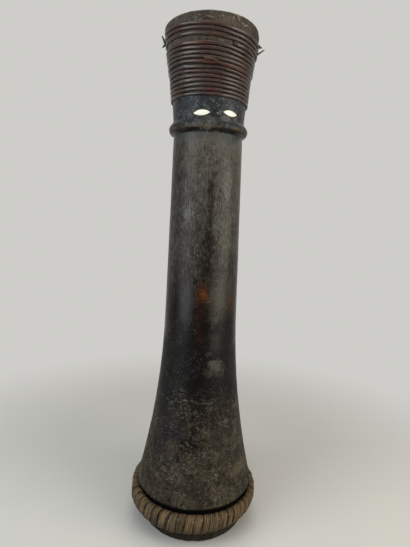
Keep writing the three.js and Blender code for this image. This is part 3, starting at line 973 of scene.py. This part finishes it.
@dataclass
class CarvedLog:
    """The drum's one-piece wooden body."""

    wood: PatinaWood = PatinaWood()
    levels: Levels = Levels()
    cup: Cup = Cup()
    eyes: EyeForm = EyeForm()
    foot_radius: float = 60.4
    foot_land: float = 6.0
    seat_radius: float = 70.3
    flare_radius: float = 74.1
    flare_slope: float = math.tan(math.radians(13.3))
    flare_handle: float = 49.0
    waist_handle: float = 90.0
    shaft_low: float = 45.0
    shaft_top: float = 41.15
    shaft_wall: float = 10.5
    collar_radius: float = 47.0
    cove_wide: float = 2.4
    cove_tall: float = 4.4
    neck_radius: float = 42.25
    rim_wall: float = 7.0
    edge_round: float = 2.2
    bowl_handle: float = 17.0
    bore_handle: float = 110.0
    mouth_handle: float = 85.0
    mouth_round: float = 1.2
    bore_waves: float = 0.7
    tool_waves: float = 0.22
    tool_chatter: float = 0.08
    dent_depth: float = 0.75
    pocket_depth: float = 2.6
    slit_angle: float = 11.4
    slit_level: float = 417.7
    slit_reach: float = 6.0
    slit_depth: float = 5.0
    slit_wide: float = 0.6
    slit_tall: float = 1.7
    steps: int = 240

    def outside(self) -> Outline:
        """Draw the outside, from the floor up to the rim."""
        at, cup, edge = self.levels, self.cup, self.edge_round
        taper = (self.shaft_low - self.shaft_top) / (at.collar_low - at.flare_top)
        flare_low, cove_top = at.flare_edge + edge, at.collar_top + self.cove_tall
        lip, waist = self.flare_handle, self.waist_handle
        foot, foot_out = (self.foot_radius, at.hoop_low), self.seat_radius - self.foot_radius
        cove = (self.neck_radius + self.cove_wide, cove_top)
        bead = (self.shaft_top, (at.collar_low + at.collar_top) / 2)
        bead_out, bead_up = self.collar_radius - self.shaft_top, (at.collar_top - at.collar_low) / 2
        flare = (
            (self.flare_radius, flare_low),
            (self.flare_radius - lip * self.flare_slope, at.flare_edge + lip),
            (self.shaft_low + waist * taper, at.flare_top - waist),
            (self.shaft_low, at.flare_top),
        )
        return [
            *arc(foot, foot_out, at.hoop_low, -90, 0, 10),
            *divided([(self.seat_radius, at.hoop_low + 2), (self.seat_radius, at.flare_edge)], 5),
            *arc((self.flare_radius - edge, flare_low), edge, edge, -90, -8, 5),
            *bend(flare, 72),
            *divided([(self.shaft_low, at.flare_top), (self.shaft_top, at.collar_low)], 3.4)[1:],
            *arc(bead, bead_out, bead_up, -72, 42, 12),
            *arc(cove, self.cove_wide, self.cove_tall, 250, 180, 6),
            *divided([(self.neck_radius, cove_top), (cup.low_radius, at.cup_low)], 0.95)[1:],
            *cup.points(at.cup_low, at.rim - edge, 0, 5)[1:],
            *arc((cup.rim_radius - edge, at.rim - edge), edge, edge, 30, 90, 3),
        ]

    def bore(self) -> Outline:
        """Draw the hollow, from the rim down to the floor."""
        at, cup = self.levels, self.cup
        mouth = self.foot_radius - self.foot_land
        rim = cup.rim_radius - self.rim_wall
        half = at.rim - (at.rim - at.cup_low) / 2
        low, top = self.shaft_low - self.shaft_wall, self.shaft_top - self.shaft_wall
        bowl = (
            (rim, at.rim - self.edge_round),
            (cup.radius(half) - self.rim_wall, half),
            (top, at.cup_low + self.bowl_handle),
            (top, at.collar_top),
        )
        flare = (
            (low, at.flare_top),
            (low, at.flare_top - self.bore_handle),
            (mouth, self.mouth_handle),
            (mouth, self.edge_round),
        )
        return [
            (rim, at.rim),
            *bend(bowl, 10),
            *divided([(top, at.collar_low), (low, at.flare_top)], 15)[:-1],
            *bend(flare, 20),
            (mouth + self.mouth_round, 0),
        ]

    def worked(self, point: Vector) -> float:
        """Give how far tools, knocks and the eye pockets move a point of the outside."""
        x, y, z = point
        at = self.levels
        bare = ease(at.cup_low + 4, at.cup_low - 8, z)
        seat = 1 - ease(2, 12, z) * ease(at.flare_edge + 3, at.flare_edge - 2, z)
        tool = self.tool_waves * ripple(x * 0.07, y * 0.07, z * 0.02)
        tool += self.tool_chatter * ripple(x * 0.3, y * 0.3, z * 0.12)
        dent = ease(0.2, 0.62, ripple(x * 0.15 + 4, y * 0.15, z * 0.13)) * ease(215, 120, z)
        push = (tool - self.dent_depth * dent) * bare * (0.15 + 0.85 * seat)
        for side in Side:
            push -= self.pocket_depth * ease(-0.6, 0.5, self.eyes.depth_in(point, side))
        return push

    def carve(self, bm: Mesh) -> None:
        """Work the outside and the hollow of the turned log."""
        mark = bm.verts.layers.float["shown"]
        for vert in bm.verts:
            x, y, z = vert.co
            if vert[mark] < 0.5:
                push = self.bore_waves * ripple(x * 0.09, y * 0.09, z * 0.05) * ease(0, 20, z)
            else:
                push = self.worked(vert.co)
            radius = math.hypot(x, y)
            vert.co.xy = (x * (radius + push) / radius, y * (radius + push) / radius)

    def pierce(self, bm: Mesh) -> None:
        """Prick a small upright slit in the shaft, right of the front."""
        angle = math.radians(self.slit_angle)
        centre = around(self.shaft_top + 1.2, angle, self.slit_level)
        reach = self.slit_reach
        near = [e for e in bm.edges if all((v.co - centre).length < reach for v in e.verts)]
        bmesh.ops.subdivide_edges(bm, edges=near, cuts=3, use_grid_fill=True)
        for vert in bm.verts:
            if (vert.co - centre).length < reach:
                across = (math.atan2(vert.co.x, -vert.co.y) - angle) * self.shaft_top
                up = vert.co.z - self.slit_level
                away = math.hypot(across / self.slit_wide, up / self.slit_tall)
                vert.co.xy *= 1 - self.slit_depth * ease(1.25, 0.6, away) / self.shaft_top

    def build(self) -> Piece:
        """Turn, carve and dress the log."""
        outside, bore = self.outside(), self.bore()
        shown = [True] * len(outside) + [False] * len(bore)
        bm = turned(outside + bore, self.steps, True, shown)
        self.carve(bm)
        self.pierce(bm)
        return finished(bm, "carved_log", self.wood.material(), "drum_body")


@dataclass
class SkinHead:
    """The lizard skin: a membrane over the rim, lapped down the cup."""

    hide: LizardSkin = LizardSkin()
    levels: Levels = Levels()
    cup: Cup = Cup()
    shoulder_round: float = 2.2
    scale_size: float = 2.6
    scale_rise: float = 0.22
    dip: float = 0.25
    puckers: float = 0.12
    sag: float = 2.0
    bare_band: float = 31.0
    steps: int = 400

    def profile(self) -> tuple[Outline, list[bool]]:
        """Draw the skin's section from the axis underneath, round the skirt, to the axis on top."""
        at, cup, gap = self.levels, self.cup, self.levels.clearance
        shoulder, bend_height = cup.rim_radius - self.shoulder_round, at.rim - self.shoulder_round
        low, hem = at.rim + gap, at.rim - cup.skirt_length
        inner, outer = self.shoulder_round + gap, gap + cup.skin_thickness
        over = self.shoulder_round + outer
        under = [
            (0.0, low),
            *divided([(12.0, low), (shoulder, low)], 13),
            *arc((shoulder, bend_height), inner, inner, 60, 0, 2),
            *cup.points(hem, bend_height, gap, 12)[::-1][1:],
        ]
        upper = [
            *cup.points(hem, at.rim - self.bare_band - 1, outer, 8),
            *cup.points(at.rim - self.bare_band, bend_height, outer, 0.8),
            *arc((shoulder, bend_height), over, over, 6, 90, 5),
            *divided([(shoulder, at.skin_top), (0.4, at.skin_top)], 0.85)[1:],
            (0.0, at.skin_top),
        ]
        return under + upper, [False] * len(under) + [True] * len(upper)

    def bulge(self, point: Vector) -> float:
        """Give how far the skirt puckers and, at the right over its crease, sags outwards."""
        x, y, z = point
        right = math.degrees(math.atan2(x, -y))
        fold = ease(46, 70, right) * ease(118, 92, right)
        fold *= ease(586.8, 588.6, z) * ease(600, 594, z)
        return self.puckers * ripple(x * 0.16, y * 0.16, z * 0.05) + self.sag * fold

    def emboss(self, bm: Mesh) -> None:
        """Raise the scales, pucker the skirt and let the membrane dip."""
        mark = bm.verts.layers.float["shown"]
        bm.normal_update()
        moves: list[tuple[bmesh.types.BMVert, Vector]] = []
        for vert in bm.verts:
            radius = math.hypot(vert.co.x, vert.co.y)
            move = Vector((0, 0, -self.dip * ease(50, 10, radius) * ease(590, 598, vert.co.z)))
            if vert[mark] > 0.5 and radius > 0.5:
                near, following = noise.voronoi(vert.co / self.scale_size)[0][:2]
                scale = self.scale_rise * (ease(0.0, 0.35, following - near) - 0.5)
                move += vert.normal * (scale * ease(0.5, 6, radius) + self.bulge(vert.co))
            moves.append((vert, move))
        for vert, move in moves:
            vert.co += move

    def build(self) -> Piece:
        """Turn, emboss and dress the skin."""
        profile, shown = self.profile()
        bm = turned(profile, self.steps, False, shown)
        self.emboss(bm)
        return finished(bm, "lizard_skin", self.hide.material(), "drum_skin")


@dataclass(frozen=True)
class LooseEnd:
    """A free end of cane that springs off a binding, coloured as at one place across the cane."""

    angle: float
    height: float
    tip_angle: float
    tip_height: float
    tip_out: float
    width: float = 2.2
    # An across of 1.0 takes the cane's painted edge shade, so such an end is painted dark as if in
    # shade.
    across: float = 1.0
    lift: float = 1.3
    thick: float = 0.8
    length: float = 0.012
    taper: float = 0.5
    curl: float = 1.3
    spring: float = 1.4
    steps: int = 20


@dataclass
class CaneBinding:
    """One length of half-round split cane, wound down the cup."""

    node: str
    start_angle: float
    start_height: float
    turns: float
    pitch: float
    lead_in: float = 0.0
    loose_ends: tuple[LooseEnd, ...] = ()
    cane: SplitCane = SplitCane()
    cup: Cup = Cup()
    width: float = 4.1
    thickness: float = 2.2
    shaved: float = 0.4
    tilt: float = 2.6
    tilt_angle: float = -12.0
    level_turns: float = 15.0
    slant_reach: float = 28.0
    stand_off: float = 0.0
    wave: float = 0.75
    shiver: float = 0.3
    slimness: float = 0.95
    uneven_width: float = 0.3
    uneven_thickness: float = 0.16
    lap_rise: float = 0.8
    loop_steps: int = 72

    def slanted(self, height: float, angle: float) -> float:
        """Give a turn's height at an angle: level low on the cup, falling to the right above."""
        share = (height - self.cup.levels.cup_low - self.level_turns) / self.slant_reach
        slant = self.tilt * min(1.0, max(0.0, share))
        return height - slant * math.sin(angle - math.radians(self.tilt_angle))

    def section(self) -> Outline:
        """Draw the half-round section as up and out, for a width and thickness of 1."""
        turns = [math.pi * i / 9 for i in range(10)]
        return [(-math.cos(t) / 2, math.sin(t) ** 0.8) for t in turns]

    def ring(self, turn: float) -> list[Vector]:
        """Place the section after a number of turns.

        Args:
            turn: turns from the start.

        Returns:
            The section's points on the cup.
        """
        angle = math.radians(self.start_angle) + 2 * math.pi * turn
        middle = self.slanted(self.start_height - self.pitch * turn, angle)
        x, y = math.sin(angle), -math.cos(angle)
        wave = self.wave * ripple(x * 1.6, y * 1.6, middle * 0.16)
        middle += wave + self.shiver * ripple(x * 7, y * 7, middle * 0.5)
        lap = ease(0.055, 0.004, turn) if self.lead_in else 0.0
        start = 1.0 if self.lead_in else ease(-0.008, 0.02, turn)
        tuck = start * ease(-0.008, 0.03, self.turns - turn)
        slim = self.shaved + (1 - self.shaved) * tuck
        swell = self.uneven_width * ripple(angle * 1.3, self.start_height, 2.0)
        wide = self.width * slim * (self.slimness + swell)
        swell = self.uneven_thickness * ripple(angle * 1.9, 5.0, self.start_height)
        thick = self.thickness * slim * (1 + swell)
        right = math.degrees(math.remainder(angle, 2 * math.pi))
        spring = self.stand_off * ease(40, 78, right) * ease(150, 100, right)
        places = []
        for up, out in self.section():
            height = middle + up * wide + self.lead_in * lap
            radius = self.cup.seat(height) + self.cup.levels.clearance + out * thick + spring
            places.append(around(radius + lap * self.thickness * self.lap_rise, angle, height))
        return places

    def loose_ring(self, loose: LooseEnd, share: float) -> list[Vector]:
        """Place the section along a loose end, at a share of its length."""
        angle = math.radians(loose.angle + (loose.tip_angle - loose.angle) * share)
        middle = loose.height + (loose.tip_height - loose.height) * share**loose.curl
        wide = loose.width * (1 - loose.taper * share)
        base = self.cup.seat(middle) + loose.lift + loose.tip_out * share**loose.spring
        deep = wide * loose.thick
        spots = ((base + out * deep, middle + up * wide) for up, out in self.section())
        return [around(radius, angle, height) for radius, height in spots]

    def build(self) -> Piece:
        """Sweep the winding, its start in finer steps, and its loose ends, and dress them."""
        count = round(self.turns * self.loop_steps)
        even = {i / self.loop_steps for i in range(count + 1)}
        turns = sorted(even | {i / 360 for i in range(25)})
        across = [2 * up for up, _ in self.section()]
        girth = 2 * math.pi * self.cup.seat(self.start_height) * METRES
        along = [self.start_height + t * girth for t in turns]
        bm = swept([self.ring(t) for t in turns], along, across)
        for loose in self.loose_ends:
            shares = [i / loose.steps for i in range(loose.steps + 1)]
            rings = [self.loose_ring(loose, share) for share in shares]
            along = [loose.height + loose.length * share for share in shares]
            extra = swept(rings, along, [loose.across] * len(across))
            carrier = bpy.data.meshes.new("loose_end")
            extra.to_mesh(carrier)
            extra.free()
            bm.from_mesh(carrier)
            bpy.data.meshes.remove(carrier)
        return finished(bm, f"split_cane_{self.node}", self.cane.material(), self.node)


@dataclass
class ShellEye:
    """A lens of white shell bedded in black gum."""

    side: Side
    form: EyeForm = EyeForm()
    shell: WhiteShell = WhiteShell()
    gum: TwoTone = TREE_GUM
    crown: float = 0.55
    shell_depth: float = 1.5
    shell_waves: float = 0.12
    gum_ring: float = 10.0
    gum_margin: float = 1.3
    gum_depth: float = 1.4
    steps: int = 96

    @property
    def name(self) -> str:
        """The eye's name, by its side."""
        return f"{self.side.name.lower()}_eye"

    def build_shell(self) -> Piece:
        """Shape a crowned lens from a round one of radius 1, and lay it in the neck."""
        shares = (0.0, 0.12, 0.25, 0.4, 0.55, 0.7, 0.82, 0.91, 0.97)
        crown = [(s, 0.25 + self.crown * math.sqrt(1 - s * s)) for s in shares]
        profile = [(0.0, -self.shell_depth), (0.98, -self.shell_depth), (1.0, 0.1), *crown[::-1]]
        bm = turned(profile, self.steps, False)
        rim = bm.verts.layers.float.new("across")
        for vert in bm.verts:
            x, y, z = vert.co
            share = math.hypot(x, y)
            waves = self.shell_waves * ripple(x * 3, y * 3, self.side.value)
            x, y = self.form.edge(math.atan2(y, x), waves)
            vert[rim] = share
            vert.co = self.form.on_neck(x * share, y * share, z, self.side)
        bmesh.ops.recalc_face_normals(bm, faces=bm.faces)
        finish = self.shell.material()
        return finished(bm, f"shell_{self.name}", finish, f"{self.name}_shell")

    def build_gum(self) -> Piece:
        """Squeeze a lumpy bead of gum, turned as a plain ring, round the shell."""
        near, far, low = self.gum_ring, self.gum_ring + self.gum_margin, -self.gum_depth
        bead = [(far - 0.25, 0.22), (far - 0.7, 0.34), (near + 0.45, 0.36), (near + 0.12, 0.3)]
        bm = turned([(near + 0.1, low), (far, low), (far, 0.0), *bead], self.steps, True)
        for vert in bm.verts:
            x, y, z = vert.co
            turn = math.atan2(y, x)
            lump = ripple(math.cos(turn) * 4, math.sin(turn) * 4, 3 + self.side.value)
            x, y = self.form.edge(turn, (math.hypot(x, y) - near) * (1 + 0.35 * lump))
            vert.co = self.form.on_neck(x, y, z + 0.1 * lump * (z > 0.1), self.side)
        bmesh.ops.recalc_face_normals(bm, faces=bm.faces)
        return finished(bm, f"gum_{self.name}", self.gum.material(), f"{self.name}_gum")


@dataclass
class FootHoop:
    """The hoop under the flare: a bent cane core wrapped with one long strip."""

    core_cane: TwoTone = BARE_CANE
    strip: CaneStrip = CaneStrip()
    levels: Levels = Levels()
    inner_radius: float = 70.6
    depth: float = 11.4
    strip_thickness: float = 1.3
    strip_turn: float = 0.058
    corner: float = 4.1
    turns: int = 48
    uneven_turns: float = 0.42
    turn_rhythm: float = 0.2
    gap: float = 0.7
    gap_share: float = 1.1
    gap_change: float = 2.4
    buckle: float = 0.25
    buckle_rise: float = 0.6
    fray: float = 0.9
    tilt: float = 1.6
    lowest_at: float = -28.0
    slimming: float = 0.3
    slim_side: float = 82.0
    lopsided: float = 0.11
    core_steps: int = 144
    edges: list[float] = field(default_factory=list)

    def __post_init__(self) -> None:
        """Share the circle out among turns of uneven width."""
        uneven = [self.uneven_turns * ripple(i * 0.83, 2.7, 1.9) for i in range(self.turns)]
        widths = [1 + u + self.turn_rhythm * math.sin(i * 2.39) for i, u in enumerate(uneven)]
        total = sum(widths)
        place = 0.0
        for width in [*widths, widths[0]]:
            self.edges.append(place)
            place += 2 * math.pi * width / total
        self.edges.append(place)

    @property
    def middle_radius(self) -> float:
        """Radius of the middle of the hoop's section."""
        return self.inner_radius + self.depth / 2

    @property
    def middle_height(self) -> float:
        """Height of the middle of the hoop's section."""
        return (self.levels.hoop_low + self.levels.hoop_top) / 2

    def girth(self) -> list[tuple[float, ...]]:
        """Walk round the hoop's section, from the inner low corner underneath.

        Returns:
            Skeleton point, normal and share of the girth for each step.
        """
        wrap = self.strip_thickness + self.levels.clearance
        across = self.depth / 2 - wrap - self.corner
        up = (self.levels.hoop_top - self.levels.hoop_low) / 2 - wrap - self.corner
        corners = ((-across, -up, 180), (across, -up, 270), (across, up, 0), (-across, up, 90))
        walk = []
        for x, z, start in corners:
            for i in range(5):
                turn = math.radians(start + 22.5 * i)
                walk.append((x, z, math.cos(turn), math.sin(turn)))
        filled = []
        for (x0, z0, nx, nz), (x1, z1, *_) in zip(walk, [*walk[1:], walk[0]]):
            count = max(1, round(math.hypot(x1 - x0, z1 - z0) / 3.0))
            cuts = [i / count for i in range(count)]
            filled += [(x0 + (x1 - x0) * c, z0 + (z1 - z0) * c, nx, nz) for c in cuts]
        reach = self.corner + wrap
        outer = [(x + reach * nx, z + reach * nz) for x, z, nx, nz in filled]
        steps = [math.dist(a, b) for a, b in zip(outer, [*outer[1:], outer[0]])]
        shares = [sum(steps[:i]) / sum(steps) for i in range(len(steps))]
        return [(*point, share) for point, share in zip(filled, shares)]

    def leaned(self, place: Vector) -> Vector:
        """Lean a point with the hoop, which sits a little askew and is slimmer on one side."""
        angle = math.atan2(place.x, -place.y)
        towards = math.cos(angle - math.radians(self.slim_side))
        slim = 1 - self.slimming * max(0.0, towards)
        height = self.middle_height + (place.z - self.middle_height) * slim
        height += self.tilt * (1 - math.cos(angle - math.radians(self.lowest_at)))
        out = math.hypot(place.x, place.y) - self.inner_radius
        out *= 1 - self.lopsided * max(-0.25, towards)
        return around(self.inner_radius + out, angle, height)

    def edge_angle(self, turn: float) -> float:
        """Give the angle at which the strip's edge lies after a number of turns."""
        whole = min(int(turn), len(self.edges) - 2)
        return self.edges[whole] + (self.edges[whole + 1] - self.edges[whole]) * (turn - whole)

    def strip_ring(self, turn: float, spot: tuple[float, ...]) -> list[Vector]:
        """Place the strip's section at one step round the hoop.

        Args:
            turn: whole turns from the start.
            spot: the step, as girth gives it.

        Returns:
            The section's points, uneven as wound by hand.
        """
        x, z, nx, nz, share = spot
        spare = self.gap / self.inner_radius / 2
        low, high = self.edge_angle(turn + share), self.edge_angle(turn + share + 1)
        low += spare * (self.gap_share + self.gap_change * ripple(turn * 1.31, 0.4, 6.0))
        high -= spare * (self.gap_share + self.gap_change * ripple(turn * 1.57, 3.0, 2.0))
        outer = max(0.0, nx)
        lift = (0.4 + outer) * ripple(turn * 2.13, 1.5, 4.0)
        lean = (0.3 + 0.9 * outer) * ripple(turn * 1.71, 8.5, 1.0)
        base = self.corner + self.levels.clearance
        radius, height = self.middle_radius + x, self.middle_height + z
        places = []
        for side, rise in self.section():
            wave = self.buckle * ripple(turn * 3.7 + side * 1.3, share * 5.0, 0.5)
            wave += lift + lean * side
            reach = base + rise * (1 + self.buckle_rise * wave) * self.strip_thickness
            fray = self.fray * spare * ripple(turn * 1.7, share * 12, side * 2)
            angle = (low + high) / 2 + side * (high - low) / 2 + fray
            place = around(radius + reach * nx, angle, height + reach * nz)
            places.append(self.leaned(place))
        return places

    def section(self) -> Outline:
        """Draw the strip's section as place across and rise, both as shares."""
        left = [(-1, 0), (-1, 0.6), (-0.9, 0.86), (-0.55, 0.95)]
        return [*left, (0, 1), *((-side, rise) for side, rise in reversed(left)), (0, 0)]

    def build_wrapping(self) -> Piece:
        """Sweep the strip round the hoop."""
        walk = self.girth()
        spots = [(turn, spot) for turn in range(self.turns) for spot in walk]
        rings = [self.strip_ring(turn, spot) for turn, spot in spots]
        along = [self.strip_turn * (turn + spot[4]) for turn, spot in spots]
        bm = swept(rings, along, [side for side, _ in self.section()])
        return finished(bm, "strip_wrapping", self.strip.material(), "hoop_wrapping")

    def build_core(self) -> Piece:
        """Turn the bent core."""
        radius, height, corner = self.middle_radius, self.middle_height, self.corner
        profile = [
            (radius + x + corner * nx, height + z + corner * nz)
            for x, z, nx, nz, _ in self.girth()
        ]
        bm = turned(profile, self.core_steps, True)
        for vert in bm.verts:
            vert.co = self.leaned(vert.co)
        return finished(bm, "bent_core", self.core_cane.material(), "hoop_core")


@dataclass
class TuningWax:
    """Pellets of beeswax pressed on the membrane."""

    count: int = 5
    wax: TwoTone = BEESWAX
    levels: Levels = Levels()
    radius: float = 4.6
    height: float = 3.6
    circle: float = 17.0
    flat: float = 0.12
    squash: float = 0.89
    sink: float = 0.2
    lumps: float = 0.14

    def build(self) -> list[Piece]:
        """Press each pellet and set it on the skin."""
        material = self.wax.material()
        return [self.pellet(i, material) for i in range(self.count)]

    def pellet(self, index: int, material: Material) -> Piece:
        """Shape one pellet: a ball pressed flat on the skin, with thumb dents."""
        bm = bmesh.new()
        bmesh.ops.create_icosphere(bm, subdivisions=4, radius=1.0)
        floor = {"plane_co": (0, 0, -self.flat), "plane_no": (0, 0, -1)}
        ball = [*bm.verts, *bm.edges, *bm.faces]
        bmesh.ops.bisect_plane(bm, geom=ball, clear_outer=True, **floor)
        bmesh.ops.holes_fill(bm, edges=[e for e in bm.edges if e.is_boundary])
        seat = around(self.circle, 2 * math.pi * index / self.count, self.levels.skin_top)
        for vert in bm.verts:
            x, y, z = vert.co
            lump = 1 + self.lumps * ripple(x * 1.4 + index * 3.1, y * 1.4, z * 1.4)
            out, up = self.radius * lump, self.height * self.squash * lump
            vert.co = seat + Vector((x * out, y * out, (z + self.flat) * up - self.sink))
        bmesh.ops.recalc_face_normals(bm, faces=bm.faces)
        return finished(bm, f"beeswax_{index + 1}", material, f"tuning_wax_{index + 1}")


# Studio


@dataclass(frozen=True)
class Lamp:
    """A soft rectangular lamp, placed by its bearing from the camera's line of sight."""

    name: str
    bearing: float
    distance: float
    height: float
    wide: float
    tall: float
    power: float
    colour: tuple[float, float, float]


@dataclass(frozen=True)
class Studio:
    """Pale floor, soft lamps, even surroundings and the camera."""

    face_turn: float = 12.1
    camera_place: tuple[float, float, float] = (3.4, -499.0, 381.6)
    camera_pitch: float = 7.27
    camera_roll: float = 2.44
    camera_lens: float = 26.28
    sensor: float = 36.0
    aim: tuple[float, float, float] = (0, 0, 0.3)
    floor_radius: float = 9.0
    floor_colours: tuple[str, str] = ("c8c6c1", "cbc9c3")
    floor_fade: tuple[float, float] = (0.26, 0.66)
    backdrop: str = "cecdc9"
    surround: float = 0.2
    lamps: tuple[Lamp, ...] = (
        Lamp("window_left", -53, 0.84, 0.46, 0.6, 0.9, 7.0, (0.88, 0.95, 1.0)),
        Lamp("window_right", 61, 0.88, 0.46, 0.66, 0.9, 7.7, (1.0, 0.96, 0.87)),
        Lamp("ceiling", 0, 0.6, 2.2, 1.5, 1.5, 15, (1.0, 0.99, 0.96)),
        Lamp("back_fill", 180, 1.3, 2.0, 1.2, 1.2, 9, (1.0, 1.0, 1.0)),
    )

    def turn(self) -> Matrix:
        """Turn from the camera's bearing to the drum's own front."""
        return Matrix.Rotation(-math.radians(self.face_turn), 4, "Z")

    def floor_material(self) -> Material:
        """Make the floor's finish, which the camera sees fade into the backdrop."""
        r = Recipe("pale_floor")
        low, high = self.floor_colours
        tone = r.mixed(r.span(r.cloud(3, 3), 0.3, 0.7), paint(low), paint(high))
        r.surface(tone, 0.9, mirror=0.1)
        far = r.times(r.span(r.vector("LENGTH", r.place), *self.floor_fade), r.seen())
        haze = r.node("ShaderNodeEmission", {"Color": paint(self.backdrop)}).outputs[0]
        blend = r.node("ShaderNodeMixShader", {0: far, 1: r.shader.outputs[0], 2: haze})
        r.feed(r.output.inputs["Surface"], blend.outputs[0])
        return r.material

    def lay_floor(self) -> None:
        """Lay a wide pale floor."""
        bm = bmesh.new()
        bmesh.ops.create_circle(bm, cap_ends=True, segments=96, radius=self.floor_radius)
        mesh = bpy.data.meshes.new("pale_floor")
        bm.to_mesh(mesh)
        bm.free()
        mesh.materials.append(self.floor_material())
        floor = bpy.data.objects.new("pale_floor", mesh)
        bpy.context.scene.collection.objects.link(floor)

    def hang_lamps(self) -> None:
        """Hang the lamps round the drum, each facing its middle."""
        for lamp in self.lamps:
            light = bpy.data.lights.new(lamp.name, "AREA")
            light.shape = "RECTANGLE"
            light.size, light.size_y = lamp.wide, lamp.tall
            light.energy = lamp.power
            light.color = lamp.colour
            holder = bpy.data.objects.new(lamp.name, light)
            place = self.turn() @ around(lamp.distance, math.radians(lamp.bearing), lamp.height)
            holder.location = place
            holder.rotation_euler = (Vector(self.aim) - place).to_track_quat("-Z", "Y").to_euler()
            bpy.context.scene.collection.objects.link(holder)

    def surround_drum(self) -> None:
        """Set even surroundings, seen as a pale backdrop."""
        world = bpy.data.worlds.new("surroundings")
        bpy.context.scene.world = world
        world.use_nodes = True
        g = Graph(world.node_tree)
        shares = {"Value": g.seen(), "To Min": self.surround, "To Max": 1.0}
        strength = g.node("ShaderNodeMapRange", shares).outputs["Result"]
        light = g.node("ShaderNodeBackground", {0: paint(self.backdrop), 1: strength})
        g.node("ShaderNodeOutputWorld", {"Surface": light.outputs["Background"]})

    def set_camera(self) -> None:
        """Stand the camera where the photograph was taken."""
        data = bpy.data.cameras.new("camera")
        data.lens = self.camera_lens
        data.sensor_width = self.sensor
        data.clip_start = 0.01
        camera = bpy.data.objects.new("camera", data)
        pitch = Matrix.Rotation(math.radians(90 - self.camera_pitch), 4, "X")
        roll = Matrix.Rotation(math.radians(self.camera_roll), 4, "Z")
        place = Matrix.Translation(Vector(self.camera_place) * METRES)
        camera.matrix_world = self.turn() @ place @ pitch @ roll
        bpy.context.scene.collection.objects.link(camera)
        bpy.context.scene.camera = camera

    def build(self) -> None:
        """Set up the whole studio."""
        self.lay_floor()
        self.hang_lamps()
        self.surround_drum()
        self.set_camera()
        bpy.context.scene.view_settings.view_transform = "Standard"


def bindings() -> Iterable[CaneBinding]:
    """Lay out the three lengths of cane, from the rim down."""
    # The left ends, the right end and the spike keep an across of 1.0: painted dark as if in shade.
    left = (LooseEnd(-96, 586.5, -101, 595.0, 2.4, 3.0), LooseEnd(-95, 584.0, -98, 582.0, 3.6, 3.0))
    right = LooseEnd(74, 587.5, 79, 588, 4.4, 4.4)
    band = LooseEnd(16, 572.8, 150, 565.5, 0.4, 5.0, 0.3, 0.3, 0.44)
    spike = LooseEnd(72, 576.5, 79, 585.5, 8.6, 2.6)
    knot = LooseEnd(-20, 554.6, -9, 553.2, 1.6, 4.6, 0.4)
    upper = (*left, right, band)
    yield CaneBinding("upper_binding", -92, 589.3, 2.52, 4.85, stand_off=1.6, loose_ends=upper)
    yield CaneBinding("middle_binding", 80, 572.9, 4.78, 4.4, loose_ends=(spike,))
    yield CaneBinding("lower_binding", -17, 551.95, 7.37, 4.45, lead_in=3.4, loose_ends=(knot,))


def main() -> None:
    """Build the drum piece by piece, then its studio."""
    CarvedLog().build()
    SkinHead().build()
    for binding in bindings():
        binding.build()
    for side in Side:
        eye = ShellEye(side)
        eye.build_gum()
        eye.build_shell()
    hoop = FootHoop()
    hoop.build_core()
    hoop.build_wrapping()
    TuningWax().build()
    Studio().build()


if __name__ == "__main__":
    main()
